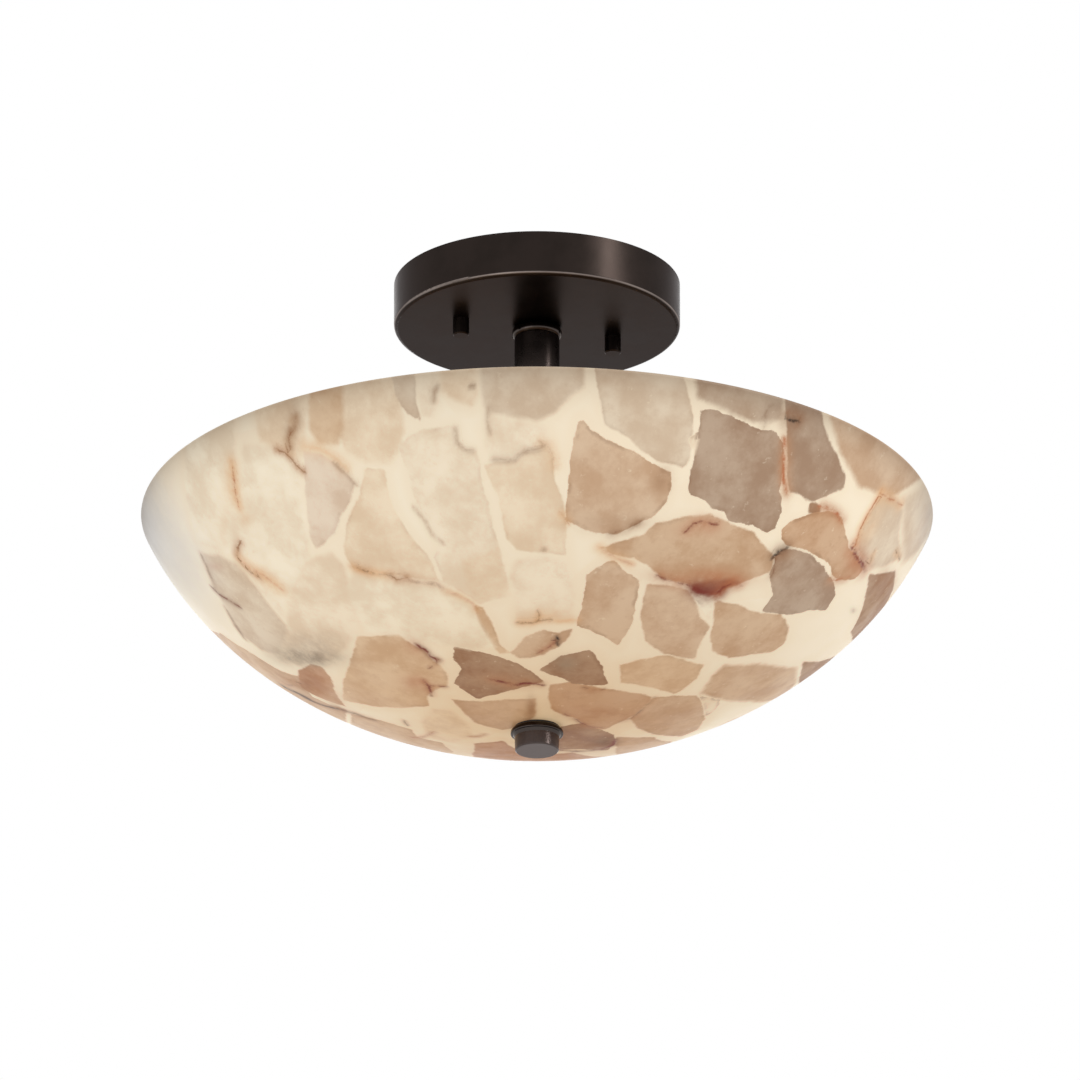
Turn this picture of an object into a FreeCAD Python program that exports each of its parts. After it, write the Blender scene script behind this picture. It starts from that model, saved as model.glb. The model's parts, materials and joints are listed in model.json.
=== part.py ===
"""Semi flush ceiling light: a bowl shade of stone chips in resin, hung by one rod and finial under a canopy.

Millimetres, +Z up. The origin is the centre of the ceiling plane, so the whole light lies below z = 0.
The bar that screws to the ceiling box runs along Y; the stud bar and the two lamps run along X. The pieces
are stacked down the Z axis: each one's place follows from the piece that it seats on, from the ceiling down
to the finial. The bowl and both faces in it follow one ellipse and its offsets.
"""

import FreeCAD
import Part
import math
import os

V = FreeCAD.Vector
UP = V(0, 0, 1)
ORIGIN = V(0, 0, 0)
SIDES = {"left": -1, "right": 1}
POLES = {"black": 1, "white": -1}

# Clearances.
THREAD_GAP = 0.05  # radial, between a thread and the plain bore that stands for its mate
SLIP_GAP = 0.35  # radial, of a clearance hole round a pipe, rod or stud
CONTACT_GAP = 0.2  # between a lamp's tip and the contact that it presses
END_INSET = 0.3  # of a screw's end below the face that it stops short of

# Standard lamp pipe, one eighth inch, and its hexagon nuts.
PIPE_RADIUS = 4.8
PIPE_BORE_RADIUS = 3.2
PIPE_NUT_FLATS = 14.3
PIPE_NUT_HEIGHT = 3.5
PIPE_END_SHOWING = 0.6  # pipe past its nut

# Ceiling bar, stud bar and what joins them.
CEILING_BAR_LENGTH = 110.0
CEILING_BAR_WIDTH = 16.0
CEILING_BAR_THICKNESS = 1.8
BOX_SCREW_SPACING = 88.9  # three and a half inch ceiling box
BOX_SLOT_WIDTH = 4.8
BOX_SLOT_LENGTH = 10.0
STUD_BAR_LENGTH = 90.0
STUD_BAR_WIDTH = 14.0
STUD_BAR_THICKNESS = 1.8
BAR_END_ROUND = 4.0
RIVET_RADIUS = 3.0
RIVET_HEAD_RADIUS = 5.5
RIVET_HEAD_THICKNESS = 1.2
RIVET_FLANGE_RADIUS = 4.4
RIVET_FLANGE_THICKNESS = 0.8
GROUND_SCREW_PLACE = 20.0
GROUND_SHANK_RADIUS = 2.0
GROUND_HEAD_RADIUS = 4.2
GROUND_HEAD_HEIGHT = 2.4
GROUND_HEAD_ROUND = 0.8
GROUND_SLOT_WIDTH = 1.0
GROUND_SLOT_DEPTH = 1.1

# Canopy studs, their lock nuts and the thumb nuts.
STUD_SPACING = 74.0
STUD_RADIUS = 2.08  # number 8 machine thread
STUD_NUT_FLATS = 8.7
STUD_NUT_HEIGHT = 3.2
THUMB_NUT_RADIUS = 3.8
THUMB_NUT_LENGTH = 8.0
THUMB_NUT_CHAMFER = 0.5
THUMB_NUT_BORE_DEPTH = 6.6
THUMB_NUT_RUNOUT = 0.8  # of the bore past the stud's end

# Canopy, collar and stem.
CANOPY_RADIUS = 66.675
CANOPY_DEPTH = 21.5
CANOPY_WALL = 1.2
CANOPY_EDGE_ROUND = 2.0
LOCK_WASHER_RADIUS = 9.0
LOCK_WASHER_THICKNESS = 1.2
COLLAR_RADIUS = 11.65
COLLAR_HEIGHT = 5.0
COLLAR_ROUND = 2.2
STEM_RADIUS = 10.5
STEM_WALL = 1.5
STEM_LENGTH = 101.5
STEM_PLUG_HEIGHT = 8.0  # solid tapped ends of the stem

# Hub that carries the two lampholders.
HUB_RADIUS = 19.0
HUB_WALL = 4.0
HUB_FLAT = 16.5  # from the axis to the flats that the lampholders seat on
HUB_HEIGHT = 36.0
HUB_ROOF = 3.0
HUB_CAP_THICKNESS = 3.0
HUB_SCREW_RADIUS = 1.25
HUB_SCREW_LENGTH = 9.0
HUB_SCREW_HEAD_RADIUS = 2.0
HUB_SCREW_HEAD_HEIGHT = 1.6

# Lampholders and lamps, measured along the lamp's own axis.
HOLDER_BACK_RADIUS = 12.0
HOLDER_RADIUS = 17.5
HOLDER_LENGTH = 38.0
HOLDER_BACK = 6.0
HOLDER_WEB = 2.5  # of the back, left in front of the arm pipe
HOLDER_LIP_ROUND = 1.5
SHELL_THICKNESS = 0.5
SHELL_MOUTH_INSET = 1.5
ARM_PIPE_REACH = 3.5  # of the arm pipe into the hub, from its flat
CONTACT_RADIUS = 5.0
CONTACT_THICKNESS = 1.2
LAMP_BASE_RADIUS = 13.2
LAMP_BASE_WALL = 0.5
LAMP_BASE_LENGTH = 22.0
LAMP_INSULATOR_HEIGHT = 3.6
LAMP_TIP_RADIUS = 4.6
LAMP_TIP_HEIGHT = 1.4
GLOBE_RADIUS = 30.0
GLOBE_LENGTH = 81.0  # from the base's rim to the crown
GLOBE_NECK_LENGTH = 4.0
GLOBE_NECK_IN_BASE = 5.0
GLOBE_NECK_ROUND = 18.0
GLOBE_GLASS = 1.0

# Leads and their connectors.
LEAD_RADIUS = 1.1
LEAD_OFFSET = 1.35  # of each lead from the pipe's two middle planes
LEAD_TOP_BEND = 6.6
LEAD_HUB_BEND = 9.0
LEAD_TO_CONNECTOR = 14.0  # from the axis to the connector's mouth
LEAD_IN_WEB = 1.5  # depth of a lead's end in the lampholder
CONNECTOR_LENGTH = 22.0
CONNECTOR_MOUTH_RADIUS = 5.2
CONNECTOR_TIP_RADIUS = 3.4
CONNECTOR_WALL = 1.3
CONNECTOR_RECESS_DEPTH = 9.0
CONNECTOR_RIBS = 8
CONNECTOR_RIB_START = 2.6  # from the mouth
CONNECTOR_RIB_WIDTH = 1.0
CONNECTOR_RIB_HEIGHT = 0.5

# Rod, bowl and what seats the bowl.
ROD_ABOVE_CAP = 6.0
BOWL_HANG = 47.7  # from the hub cap's underside to the bowl's inner pole
BOWL_RIM_RADIUS = 184.3
BOWL_DEPTH = 105.7  # outside, from the rim to the pole
BOWL_FULLNESS = 0.935  # rim radius as a share of the half width of the bowl's ellipse
BOWL_WALL = 6.0
BOWL_RIM_ROUND = 1.2
BOWL_HOLE_RADIUS = 7.0
GASKET_RADIUS = 19.0
GASKET_THICKNESS = 2.0
GASKET_SLEEVE_GAP = 0.3  # radial, between the gasket's sleeve and the bowl's hole
GASKET_SLEEVE_LENGTH = 4.0
SEAT_WASHER_RADIUS = 17.0
SEAT_WASHER_THICKNESS = 1.6
FINIAL_GASKET_RADIUS = 10.4
FINIAL_GASKET_THICKNESS = 0.6

# Finial.
RING_RADIUS = 12.2
RING_BEAD_HEIGHT = 2.9
RING_TOP_ROUND = 1.9
RING_LIP_ROUND = 0.5
RING_CONE_HEIGHT = 1.4
RING_STEP = 0.5  # of the cone's top inside the bead
KNOB_TOP_RADIUS = 10.35
KNOB_RADIUS = 10.1
KNOB_HEIGHT = 6.5
KNOB_CHAMFER = 0.5
KNOB_FLOOR = 1.3
KNOB_BORE_RUNOUT = 0.3

# Heights down the axis, each from the piece above it.
ceiling_bar_bottom = -CEILING_BAR_THICKNESS
stud_bar_bottom = ceiling_bar_bottom - STUD_BAR_THICKNESS
bar_screw_top = ceiling_bar_bottom - END_INSET
canopy_bottom = -CANOPY_DEPTH
canopy_floor = canopy_bottom + CANOPY_WALL
upper_nut_bottom = canopy_floor + LOCK_WASHER_THICKNESS
upper_pipe_top = upper_nut_bottom + PIPE_NUT_HEIGHT + PIPE_END_SHOWING
lead_top = upper_pipe_top + LEAD_TOP_BEND
collar_bottom = canopy_bottom - COLLAR_HEIGHT
stem_bottom = collar_bottom - STEM_LENGTH
hub_ceiling = stem_bottom - HUB_ROOF
hub_bottom = stem_bottom - HUB_HEIGHT
lamp_height = (stem_bottom + hub_bottom) / 2
cap_bottom = hub_bottom - HUB_CAP_THICKNESS
bowl_inner_pole = cap_bottom - BOWL_HANG
gasket_top = bowl_inner_pole + GASKET_THICKNESS
bowl_pole = bowl_inner_pole - BOWL_WALL
bowl_rim = bowl_pole + BOWL_DEPTH
ring_top = bowl_pole - FINIAL_GASKET_THICKNESS
ring_bead_bottom = ring_top - RING_BEAD_HEIGHT
knob_top = ring_bead_bottom - RING_CONE_HEIGHT
knob_bottom = knob_top - KNOB_HEIGHT
rod_bottom = knob_bottom + KNOB_FLOOR + KNOB_BORE_RUNOUT

# The ellipse that the bowl's outside follows.
ellipse_half_width = BOWL_RIM_RADIUS / BOWL_FULLNESS
ellipse_half_height = BOWL_DEPTH / (1 - math.sqrt(1 - BOWL_FULLNESS**2))
ellipse_height = bowl_pole + ellipse_half_height

# Places along a lamp's axis, from the hub outwards.
holder_floor = HUB_FLAT + HOLDER_BACK
holder_mouth = HUB_FLAT + HOLDER_LENGTH
lamp_tip_end = holder_floor + CONTACT_THICKNESS + CONTACT_GAP
insulator_start = lamp_tip_end + LAMP_TIP_HEIGHT
base_start = insulator_start + LAMP_INSULATOR_HEIGHT
base_end = base_start + LAMP_BASE_LENGTH
neck_end = base_end + GLOBE_NECK_LENGTH
globe_crown = base_end + GLOBE_LENGTH
shell_bore_radius = LAMP_BASE_RADIUS + THREAD_GAP
shell_radius = shell_bore_radius + SHELL_THICKNESS
arm_pipe_end = holder_floor - HOLDER_WEB

# Radii that mates share.
hub_cavity_radius = HUB_RADIUS - HUB_WALL
hub_screw_place = HUB_RADIUS - HUB_WALL / 2
pipe_thread_bore = PIPE_RADIUS + THREAD_GAP
rod_slip_bore = PIPE_RADIUS + SLIP_GAP


def cylinder(radius, low, high, x=0.0, y=0.0):
    """Upright solid cylinder between two heights."""
    return Part.makeCylinder(radius, high - low, V(x, y, low), UP)


def tube(outer, inner, low, high):
    """Upright tube on the axis between two heights."""
    return cylinder(outer, low, high).cut(cylinder(inner, low, high))


def point(radius, height):
    """Point of an outline in the XZ plane."""
    return V(radius, 0, height)


def line(a, b):
    """Straight edge between two (radius, height) points."""
    return Part.LineSegment(point(*a), point(*b)).toShape()


def chain(*points):
    """Straight edges through a list of (radius, height) points."""
    return [line(a, b) for a, b in zip(points, points[1:])]


def corner(centre, radius, start, end):
    """Round edge about a centre, between two angles in degrees, counted from +X towards +Z."""
    places = []
    for angle in (start, (start + end) / 2, end):
        turn = math.radians(angle)
        places.append(point(centre[0] + radius * math.cos(turn), centre[1] + radius * math.sin(turn)))
    return Part.Arc(*places).toShape()


def spin(edges):
    """Solid of revolution about Z of a closed outline."""
    return Part.Face(Part.Wire(edges)).revolve(ORIGIN, UP, 360)


def rims_at(shape, height):
    """Closed edges of a shape of revolution that lie at a height."""
    return [edge for edge in shape.Edges if edge.Closed and abs(edge.BoundBox.Center.z - height) < 1e-6]


def hex_nut(flats, bore, low, high, x=0.0):
    """Hexagon nut with rounded-off corners and a plain bore."""
    corner_radius = flats / math.sqrt(3)
    places = []
    for step in range(7):
        turn = math.radians(60 * step)
        places.append(V(corner_radius * math.cos(turn), corner_radius * math.sin(turn), low))
    prism = Part.Face(Part.makePolygon(places)).extrude(V(0, 0, high - low))
    bevel = (corner_radius - flats / 2) / 2
    envelope = spin(
        chain(
            (0, low),
            (flats / 2, low),
            (corner_radius, low + bevel),
            (corner_radius, high - bevel),
            (flats / 2, high),
            (0, high),
            (0, low),
        )
    )
    nut = prism.common(envelope).cut(cylinder(bore, low, high))
    nut.translate(V(x, 0, 0))
    return nut


def flat_bar(length, width, low, high):
    """Flat bar along X with rounded corners, centred on the axis."""
    bar = Part.makeBox(length, width, high - low, V(-length / 2, -width / 2, low))
    upright = [edge for edge in bar.Edges if abs(edge.tangentAt(edge.FirstParameter).z) > 0.5]
    return bar.makeFillet(BAR_END_ROUND, upright)


def slot(length, width, low, high, x):
    """Solid of a round-ended slot along X."""
    reach = (length - width) / 2
    middle = Part.makeBox(2 * reach, width, high - low, V(x - reach, -width / 2, low))
    ends = [cylinder(width / 2, low, high, x=x + end) for end in (-reach, reach)]
    return middle.multiFuse(ends).removeSplitter()


def ceiling_bar():
    """Bar that screws to the ceiling box, with two box slots and the rivet's seat."""
    bar = flat_bar(CEILING_BAR_LENGTH, CEILING_BAR_WIDTH, ceiling_bar_bottom, 0)
    bar = bar.cut(cylinder(RIVET_RADIUS + THREAD_GAP, ceiling_bar_bottom, 0))
    bar = bar.cut(cylinder(RIVET_FLANGE_RADIUS + THREAD_GAP, -RIVET_FLANGE_THICKNESS, 0))
    for side in SIDES.values():
        place = side * BOX_SCREW_SPACING / 2
        bar = bar.cut(slot(BOX_SLOT_LENGTH, BOX_SLOT_WIDTH, ceiling_bar_bottom, 0, place))
    bar.rotate(ORIGIN, UP, 90)
    return bar


def stud_bar():
    """Bar under the ceiling bar, turning on the rivet, tapped for the studs and the ground screw."""
    bar = flat_bar(STUD_BAR_LENGTH, STUD_BAR_WIDTH, stud_bar_bottom, ceiling_bar_bottom)
    bar = bar.cut(cylinder(RIVET_RADIUS + THREAD_GAP, stud_bar_bottom, ceiling_bar_bottom))
    ground_bore = GROUND_SHANK_RADIUS + THREAD_GAP
    bar = bar.cut(cylinder(ground_bore, stud_bar_bottom, ceiling_bar_bottom, x=GROUND_SCREW_PLACE))
    for side in SIDES.values():
        place = side * STUD_SPACING / 2
        bar = bar.cut(cylinder(STUD_RADIUS + THREAD_GAP, stud_bar_bottom, ceiling_bar_bottom, x=place))
    return bar


def bar_rivet():
    """Rivet on which the stud bar turns: a flange sunk in the ceiling bar, a shank and a head below."""
    head_bottom = stud_bar_bottom - RIVET_HEAD_THICKNESS
    head = cylinder(RIVET_HEAD_RADIUS, head_bottom, stud_bar_bottom)
    head = head.makeFillet(RIVET_HEAD_THICKNESS / 2, rims_at(head, head_bottom))
    shank = cylinder(RIVET_RADIUS, stud_bar_bottom, -RIVET_FLANGE_THICKNESS)
    flange = cylinder(RIVET_FLANGE_RADIUS, -RIVET_FLANGE_THICKNESS, 0)
    return head.multiFuse([shank, flange]).removeSplitter()


def ground_screw():
    """Slotted pan head screw in the stud bar, its head below."""
    head_bottom = stud_bar_bottom - GROUND_HEAD_HEIGHT
    head = cylinder(GROUND_HEAD_RADIUS, head_bottom, stud_bar_bottom)
    head = head.makeFillet(GROUND_HEAD_ROUND, rims_at(head, head_bottom))
    shank = cylinder(GROUND_SHANK_RADIUS, stud_bar_bottom, bar_screw_top)
    slot_corner = V(-GROUND_HEAD_RADIUS, -GROUND_SLOT_WIDTH / 2, head_bottom)
    driver_slot = Part.makeBox(2 * GROUND_HEAD_RADIUS, GROUND_SLOT_WIDTH, GROUND_SLOT_DEPTH, slot_corner)
    screw = head.fuse(shank).cut(driver_slot)
    screw.translate(V(GROUND_SCREW_PLACE, 0, 0))
    return screw


def canopy_stud(side):
    """Threaded stud from the stud bar down into its thumb nut."""
    end = canopy_bottom - THUMB_NUT_BORE_DEPTH + THUMB_NUT_RUNOUT
    return cylinder(STUD_RADIUS, end, bar_screw_top, x=side * STUD_SPACING / 2)


def stud_lock_nut(side):
    """Hexagon nut that locks a stud under its bar."""
    low = stud_bar_bottom - STUD_NUT_HEIGHT
    return hex_nut(STUD_NUT_FLATS, STUD_RADIUS + THREAD_GAP, low, stud_bar_bottom, side * STUD_SPACING / 2)


def thumb_nut(side):
    """Round blind nut that holds the canopy up on one stud."""
    bottom = canopy_bottom - THUMB_NUT_LENGTH
    nut = cylinder(THUMB_NUT_RADIUS, bottom, canopy_bottom)
    nut = nut.makeChamfer(THUMB_NUT_CHAMFER, rims_at(nut, bottom))
    nut = nut.cut(cylinder(STUD_RADIUS + THREAD_GAP, canopy_bottom - THUMB_NUT_BORE_DEPTH, canopy_bottom))
    nut.translate(V(side * STUD_SPACING / 2, 0, 0))
    return nut


def canopy():
    """Spun pan, open to the ceiling, with a rounded lower edge, the pipe hole and two stud holes."""
    bend = CANOPY_RADIUS - CANOPY_EDGE_ROUND
    bend_height = canopy_bottom + CANOPY_EDGE_ROUND
    inner = CANOPY_RADIUS - CANOPY_WALL
    hole = PIPE_RADIUS + SLIP_GAP
    outline = [
        line((inner, 0), (CANOPY_RADIUS, 0)),
        line((CANOPY_RADIUS, 0), (CANOPY_RADIUS, bend_height)),
        corner((bend, bend_height), CANOPY_EDGE_ROUND, 0, -90),
        *chain((bend, canopy_bottom), (hole, canopy_bottom), (hole, canopy_floor), (bend, canopy_floor)),
        corner((bend, bend_height), CANOPY_EDGE_ROUND - CANOPY_WALL, -90, 0),
        line((inner, bend_height), (inner, 0)),
    ]
    pan = spin(outline)
    for side in SIDES.values():
        place = side * STUD_SPACING / 2
        pan = pan.cut(cylinder(STUD_RADIUS + SLIP_GAP, canopy_bottom, canopy_floor, x=place))
    return pan


def upper_pipe():
    """Hollow pipe that clamps canopy, collar and stem together and lets the leads through."""
    return tube(PIPE_RADIUS, PIPE_BORE_RADIUS, collar_bottom - STEM_PLUG_HEIGHT, upper_pipe_top)


def upper_pipe_washer():
    """Washer under the upper pipe's nut, on the canopy's floor."""
    return tube(LOCK_WASHER_RADIUS, pipe_thread_bore, canopy_floor, upper_nut_bottom)


def upper_pipe_nut():
    """Hexagon nut on the upper pipe inside the canopy."""
    return hex_nut(PIPE_NUT_FLATS, pipe_thread_bore, upper_nut_bottom, upper_nut_bottom + PIPE_NUT_HEIGHT)


def stem_collar():
    """Round-edged ring between the canopy and the stem."""
    ring = cylinder(COLLAR_RADIUS, collar_bottom, canopy_bottom)
    rims = rims_at(ring, collar_bottom) + rims_at(ring, canopy_bottom)
    return ring.makeFillet(COLLAR_ROUND, rims).cut(cylinder(pipe_thread_bore, collar_bottom, canopy_bottom))


def stem():
    """Round tube with solid tapped ends."""
    hollow_bottom = stem_bottom + STEM_PLUG_HEIGHT
    hollow_top = collar_bottom - STEM_PLUG_HEIGHT
    hollow = cylinder(STEM_RADIUS - STEM_WALL, hollow_bottom, hollow_top)
    return tube(STEM_RADIUS, pipe_thread_bore, stem_bottom, collar_bottom).cut(hollow)


def lower_pipe():
    """Hollow pipe from the stem's lower end into the hub."""
    low = hub_ceiling - PIPE_NUT_HEIGHT - PIPE_END_SHOWING
    return tube(PIPE_RADIUS, PIPE_BORE_RADIUS, low, stem_bottom + STEM_PLUG_HEIGHT)


def lower_pipe_nut():
    """Hexagon nut that holds the hub on the lower pipe."""
    return hex_nut(PIPE_NUT_FLATS, pipe_thread_bore, hub_ceiling - PIPE_NUT_HEIGHT, hub_ceiling)


def hub_blank(low, high):
    """Round hub blank between two heights, cut to the flats that the lampholders seat on."""
    slab = Part.makeBox(2 * HUB_FLAT, 2 * HUB_RADIUS, high - low, V(-HUB_FLAT, -HUB_RADIUS, low))
    return cylinder(HUB_RADIUS, low, high).common(slab)


def hub_housing():
    """Housing, open below, with pipe holes in its roof and both flats."""
    body = hub_blank(hub_bottom, stem_bottom)
    cavity = cylinder(hub_cavity_radius, hub_bottom, hub_ceiling)
    core_half = HUB_FLAT - HUB_WALL / 2
    core_corner = V(-core_half, -HUB_RADIUS, hub_bottom)
    core = Part.makeBox(2 * core_half, 2 * HUB_RADIUS, HUB_HEIGHT, core_corner)
    body = body.cut(cavity.common(core))
    body = body.cut(cylinder(pipe_thread_bore, hub_ceiling, stem_bottom))
    cross_start = V(-HUB_FLAT, 0, lamp_height)
    body = body.cut(Part.makeCylinder(pipe_thread_bore, 2 * HUB_FLAT, cross_start, V(1, 0, 0)))
    screw_top = cap_bottom + HUB_SCREW_LENGTH
    for side in SIDES.values():
        place = side * hub_screw_place
        body = body.cut(cylinder(HUB_SCREW_RADIUS + THREAD_GAP, hub_bottom, screw_top, y=place))
    return body


def hub_cap():
    """Disc that closes the hub and carries the rod."""
    disc = hub_blank(cap_bottom, hub_bottom).cut(cylinder(pipe_thread_bore, cap_bottom, hub_bottom))
    for side in SIDES.values():
        place = side * hub_screw_place
        disc = disc.cut(cylinder(HUB_SCREW_RADIUS + THREAD_GAP, cap_bottom, hub_bottom, y=place))
    return disc


def hub_cap_screw(side):
    """Pan head screw through the cap into the hub's wall."""
    place = side * hub_screw_place
    head = cylinder(HUB_SCREW_HEAD_RADIUS, cap_bottom - HUB_SCREW_HEAD_HEIGHT, cap_bottom, y=place)
    shank = cylinder(HUB_SCREW_RADIUS, cap_bottom, cap_bottom + HUB_SCREW_LENGTH, y=place)
    return head.fuse(shank)


def on_lamp_axis(shape, side):
    """Turns a shape that was built up along +Z from the hub's axis, so that it lies along one lamp's axis."""
    placed = shape.copy()
    placed.rotate(ORIGIN, V(0, 1, 0), 90)
    if side < 0:
        placed.rotate(ORIGIN, UP, 180)
    placed.translate(V(0, 0, lamp_height))
    return placed


def arm_pipe(side):
    """Short hollow pipe that fixes a lampholder to the hub."""
    return on_lamp_axis(tube(PIPE_RADIUS, PIPE_BORE_RADIUS, HUB_FLAT - ARM_PIPE_REACH, arm_pipe_end), side)


def lampholder(side):
    """Porcelain cup, open outwards, tapped at the back for its pipe, with two blind lead holes."""
    outline = chain(
        (0, HUB_FLAT),
        (HOLDER_BACK_RADIUS, HUB_FLAT),
        (HOLDER_RADIUS, holder_floor),
        (HOLDER_RADIUS, holder_mouth),
        (0, holder_mouth),
        (0, HUB_FLAT),
    )
    cup = spin(outline)
    cup = cup.makeFillet(HOLDER_LIP_ROUND, rims_at(cup, holder_mouth))
    cup = cup.cut(cylinder(shell_radius, holder_floor, holder_mouth))
    cup = cup.cut(cylinder(pipe_thread_bore, HUB_FLAT, arm_pipe_end))
    for offset in (-LEAD_OFFSET, LEAD_OFFSET):
        hole = cylinder(LEAD_RADIUS + THREAD_GAP, arm_pipe_end, arm_pipe_end + LEAD_IN_WEB, y=offset)
        cup = cup.cut(hole)
    return on_lamp_axis(cup, side)


def screw_shell(side):
    """Metal sleeve that stands for the lampholder's threaded shell."""
    wall = tube(shell_radius, shell_bore_radius, holder_floor, holder_mouth - SHELL_MOUTH_INSET)
    return on_lamp_axis(wall, side)


def centre_contact(side):
    """Disc at the bottom of the lampholder that feeds the lamp's tip."""
    return on_lamp_axis(cylinder(CONTACT_RADIUS, holder_floor, holder_floor + CONTACT_THICKNESS), side)


def lamp_tip(side):
    """Solder button at the end of the lamp's base."""
    button = cylinder(LAMP_TIP_RADIUS, lamp_tip_end, insulator_start)
    return on_lamp_axis(button.makeFillet(LAMP_TIP_HEIGHT / 2, rims_at(button, lamp_tip_end)), side)


def lamp_insulator(side):
    """Tapered insulator between the tip and the threaded base."""
    widest = LAMP_BASE_RADIUS - LAMP_BASE_WALL
    outline = chain(
        (0, insulator_start),
        (LAMP_TIP_RADIUS, insulator_start),
        (widest, base_start),
        (0, base_start),
        (0, insulator_start),
    )
    return on_lamp_axis(spin(outline), side)


def lamp_base(side):
    """Thin sleeve that stands for the lamp's threaded base."""
    wall = tube(LAMP_BASE_RADIUS, LAMP_BASE_RADIUS - LAMP_BASE_WALL, base_start, base_end)
    return on_lamp_axis(wall, side)


def globe(inset):
    """Solid inside the glass's outer face, offset inwards by inset.

    A straight neck meets a cone, which touches the round crown. The cone's slope follows from both radii
    and from the height between the neck's end and the crown's centre.
    """
    radius = GLOBE_RADIUS - inset
    neck = LAMP_BASE_RADIUS - LAMP_BASE_WALL - inset
    neck_start = base_end - GLOBE_NECK_IN_BASE
    centre = globe_crown - GLOBE_RADIUS
    rise = centre - neck_end
    below = math.asin(radius / math.hypot(rise, neck)) - math.atan2(neck, rise)
    touch = (radius * math.cos(below), centre - radius * math.sin(below))
    outline = [
        *chain((0, neck_start), (neck, neck_start), (neck, neck_end), touch),
        corner((0, centre), radius, -math.degrees(below), 90),
        line((0, centre + radius), (0, neck_start)),
    ]
    solid = spin(outline)
    return solid.makeFillet(GLOBE_NECK_ROUND, rims_at(solid, neck_end))


def lamp_glass(side):
    """Thin glass envelope of a lamp, cemented into its base and open there."""
    return on_lamp_axis(globe(0).cut(globe(GLOBE_GLASS)), side)


def tangent_path(places, radii):
    """Wire of straight runs through the places, with an arc of the given radius at each inner place."""
    edges = []
    start = places[0]
    for before, place, after, radius in zip(places, places[1:], places[2:], radii):
        arriving = (place - before).normalize()
        leaving = (after - place).normalize()
        half_turn = arriving.getAngle(leaving) / 2
        setback = radius * math.tan(half_turn)
        inward = (leaving - arriving).normalize()
        middle = place + inward * (radius / math.cos(half_turn) - radius)
        arc_start = place - arriving * setback
        arc_end = place + leaving * setback
        edges.append(Part.LineSegment(start, arc_start).toShape())
        edges.append(Part.Arc(arc_start, middle, arc_end).toShape())
        start = arc_end
    edges.append(Part.LineSegment(start, places[-1]).toShape())
    return Part.Wire(edges)


def lead(side, pole):
    """Insulated lead from a connector in the canopy, down the stem and out to one lampholder."""
    x = side * LEAD_OFFSET
    y = pole * LEAD_OFFSET
    connector_end = pole * (LEAD_TO_CONNECTOR + CONNECTOR_RECESS_DEPTH)
    holder_end = side * (arm_pipe_end + LEAD_IN_WEB)
    start = V(x, connector_end, lead_top)
    places = [start, V(x, y, lead_top), V(x, y, lamp_height), V(holder_end, y, lamp_height)]
    path = tangent_path(places, (LEAD_TOP_BEND, LEAD_HUB_BEND))
    section = Part.Wire(Part.makeCircle(LEAD_RADIUS, start, V(0, 1, 0)))
    tube_solid = path.makePipeShell([section], True, False)
    ideal = math.pi * LEAD_RADIUS**2 * path.Length
    print("lead", side, pole, "volume over section times length", tube_solid.Volume / ideal)
    return tube_solid


def connector_cone(offset, length):
    """Cone that follows the connector's outside, offset outwards, from its mouth over a length."""
    slope = (CONNECTOR_MOUTH_RADIUS - CONNECTOR_TIP_RADIUS) / CONNECTOR_LENGTH
    mouth = CONNECTOR_MOUTH_RADIUS + offset
    return Part.makeCone(mouth, mouth - slope * length, length)


def wire_connector(pole):
    """Ribbed cap that joins one lead of each lampholder, open towards the pipe."""
    body = connector_cone(0, CONNECTOR_LENGTH)
    body = body.makeFillet(CONNECTOR_TIP_RADIUS / 2, rims_at(body, CONNECTOR_LENGTH))
    envelope = connector_cone(CONNECTOR_RIB_HEIGHT, CONNECTOR_LENGTH)
    rib_length = CONNECTOR_LENGTH - CONNECTOR_RIB_START - CONNECTOR_TIP_RADIUS
    rib_corner = V(0, -CONNECTOR_RIB_WIDTH / 2, CONNECTOR_RIB_START)
    blank = Part.makeBox(2 * CONNECTOR_MOUTH_RADIUS, CONNECTOR_RIB_WIDTH, rib_length, rib_corner)
    ribs = []
    for step in range(CONNECTOR_RIBS):
        rib = blank.common(envelope)
        rib.rotate(ORIGIN, UP, 360 * step / CONNECTOR_RIBS)
        ribs.append(rib)
    body = body.multiFuse(ribs).cut(connector_cone(-CONNECTOR_WALL, CONNECTOR_RECESS_DEPTH))
    body.rotate(ORIGIN, V(1, 0, 0), -90)
    if pole < 0:
        body.rotate(ORIGIN, UP, 180)
    body.translate(V(0, pole * LEAD_TO_CONNECTOR, lead_top))
    return body


def centre_rod():
    """Threaded rod from inside the hub down into the finial's knob."""
    return cylinder(PIPE_RADIUS, rod_bottom, hub_bottom + ROD_ABOVE_CAP)


def rod_nut():
    """Hexagon nut that holds the rod on the hub's cap."""
    return hex_nut(PIPE_NUT_FLATS, pipe_thread_bore, hub_bottom, hub_bottom + PIPE_NUT_HEIGHT)


def bowl_radius_at(height, inset):
    """Radius, at a height, of the bowl's ellipse offset inwards by inset."""
    share = (ellipse_height - height) / (ellipse_half_height - inset)
    return (ellipse_half_width - inset) * math.sqrt(1 - share**2)


def bowl_solid(inset, top):
    """Solid inside the bowl's ellipse, offset inwards by inset, up to a height."""
    width = ellipse_half_width - inset
    depth = ellipse_half_height - inset
    centre = V(0, 0, ellipse_height)
    ellipse = Part.Ellipse(centre + V(width, 0, 0), centre - V(0, 0, depth), centre)
    rim = bowl_radius_at(top, inset)
    rim_turn = math.acos(rim / width)
    curve = Part.Arc(ellipse, rim_turn, math.pi / 2).toShape()
    pole = ellipse_height - depth
    return spin([curve, *chain((0, pole), (0, top), (rim, top))])


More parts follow.
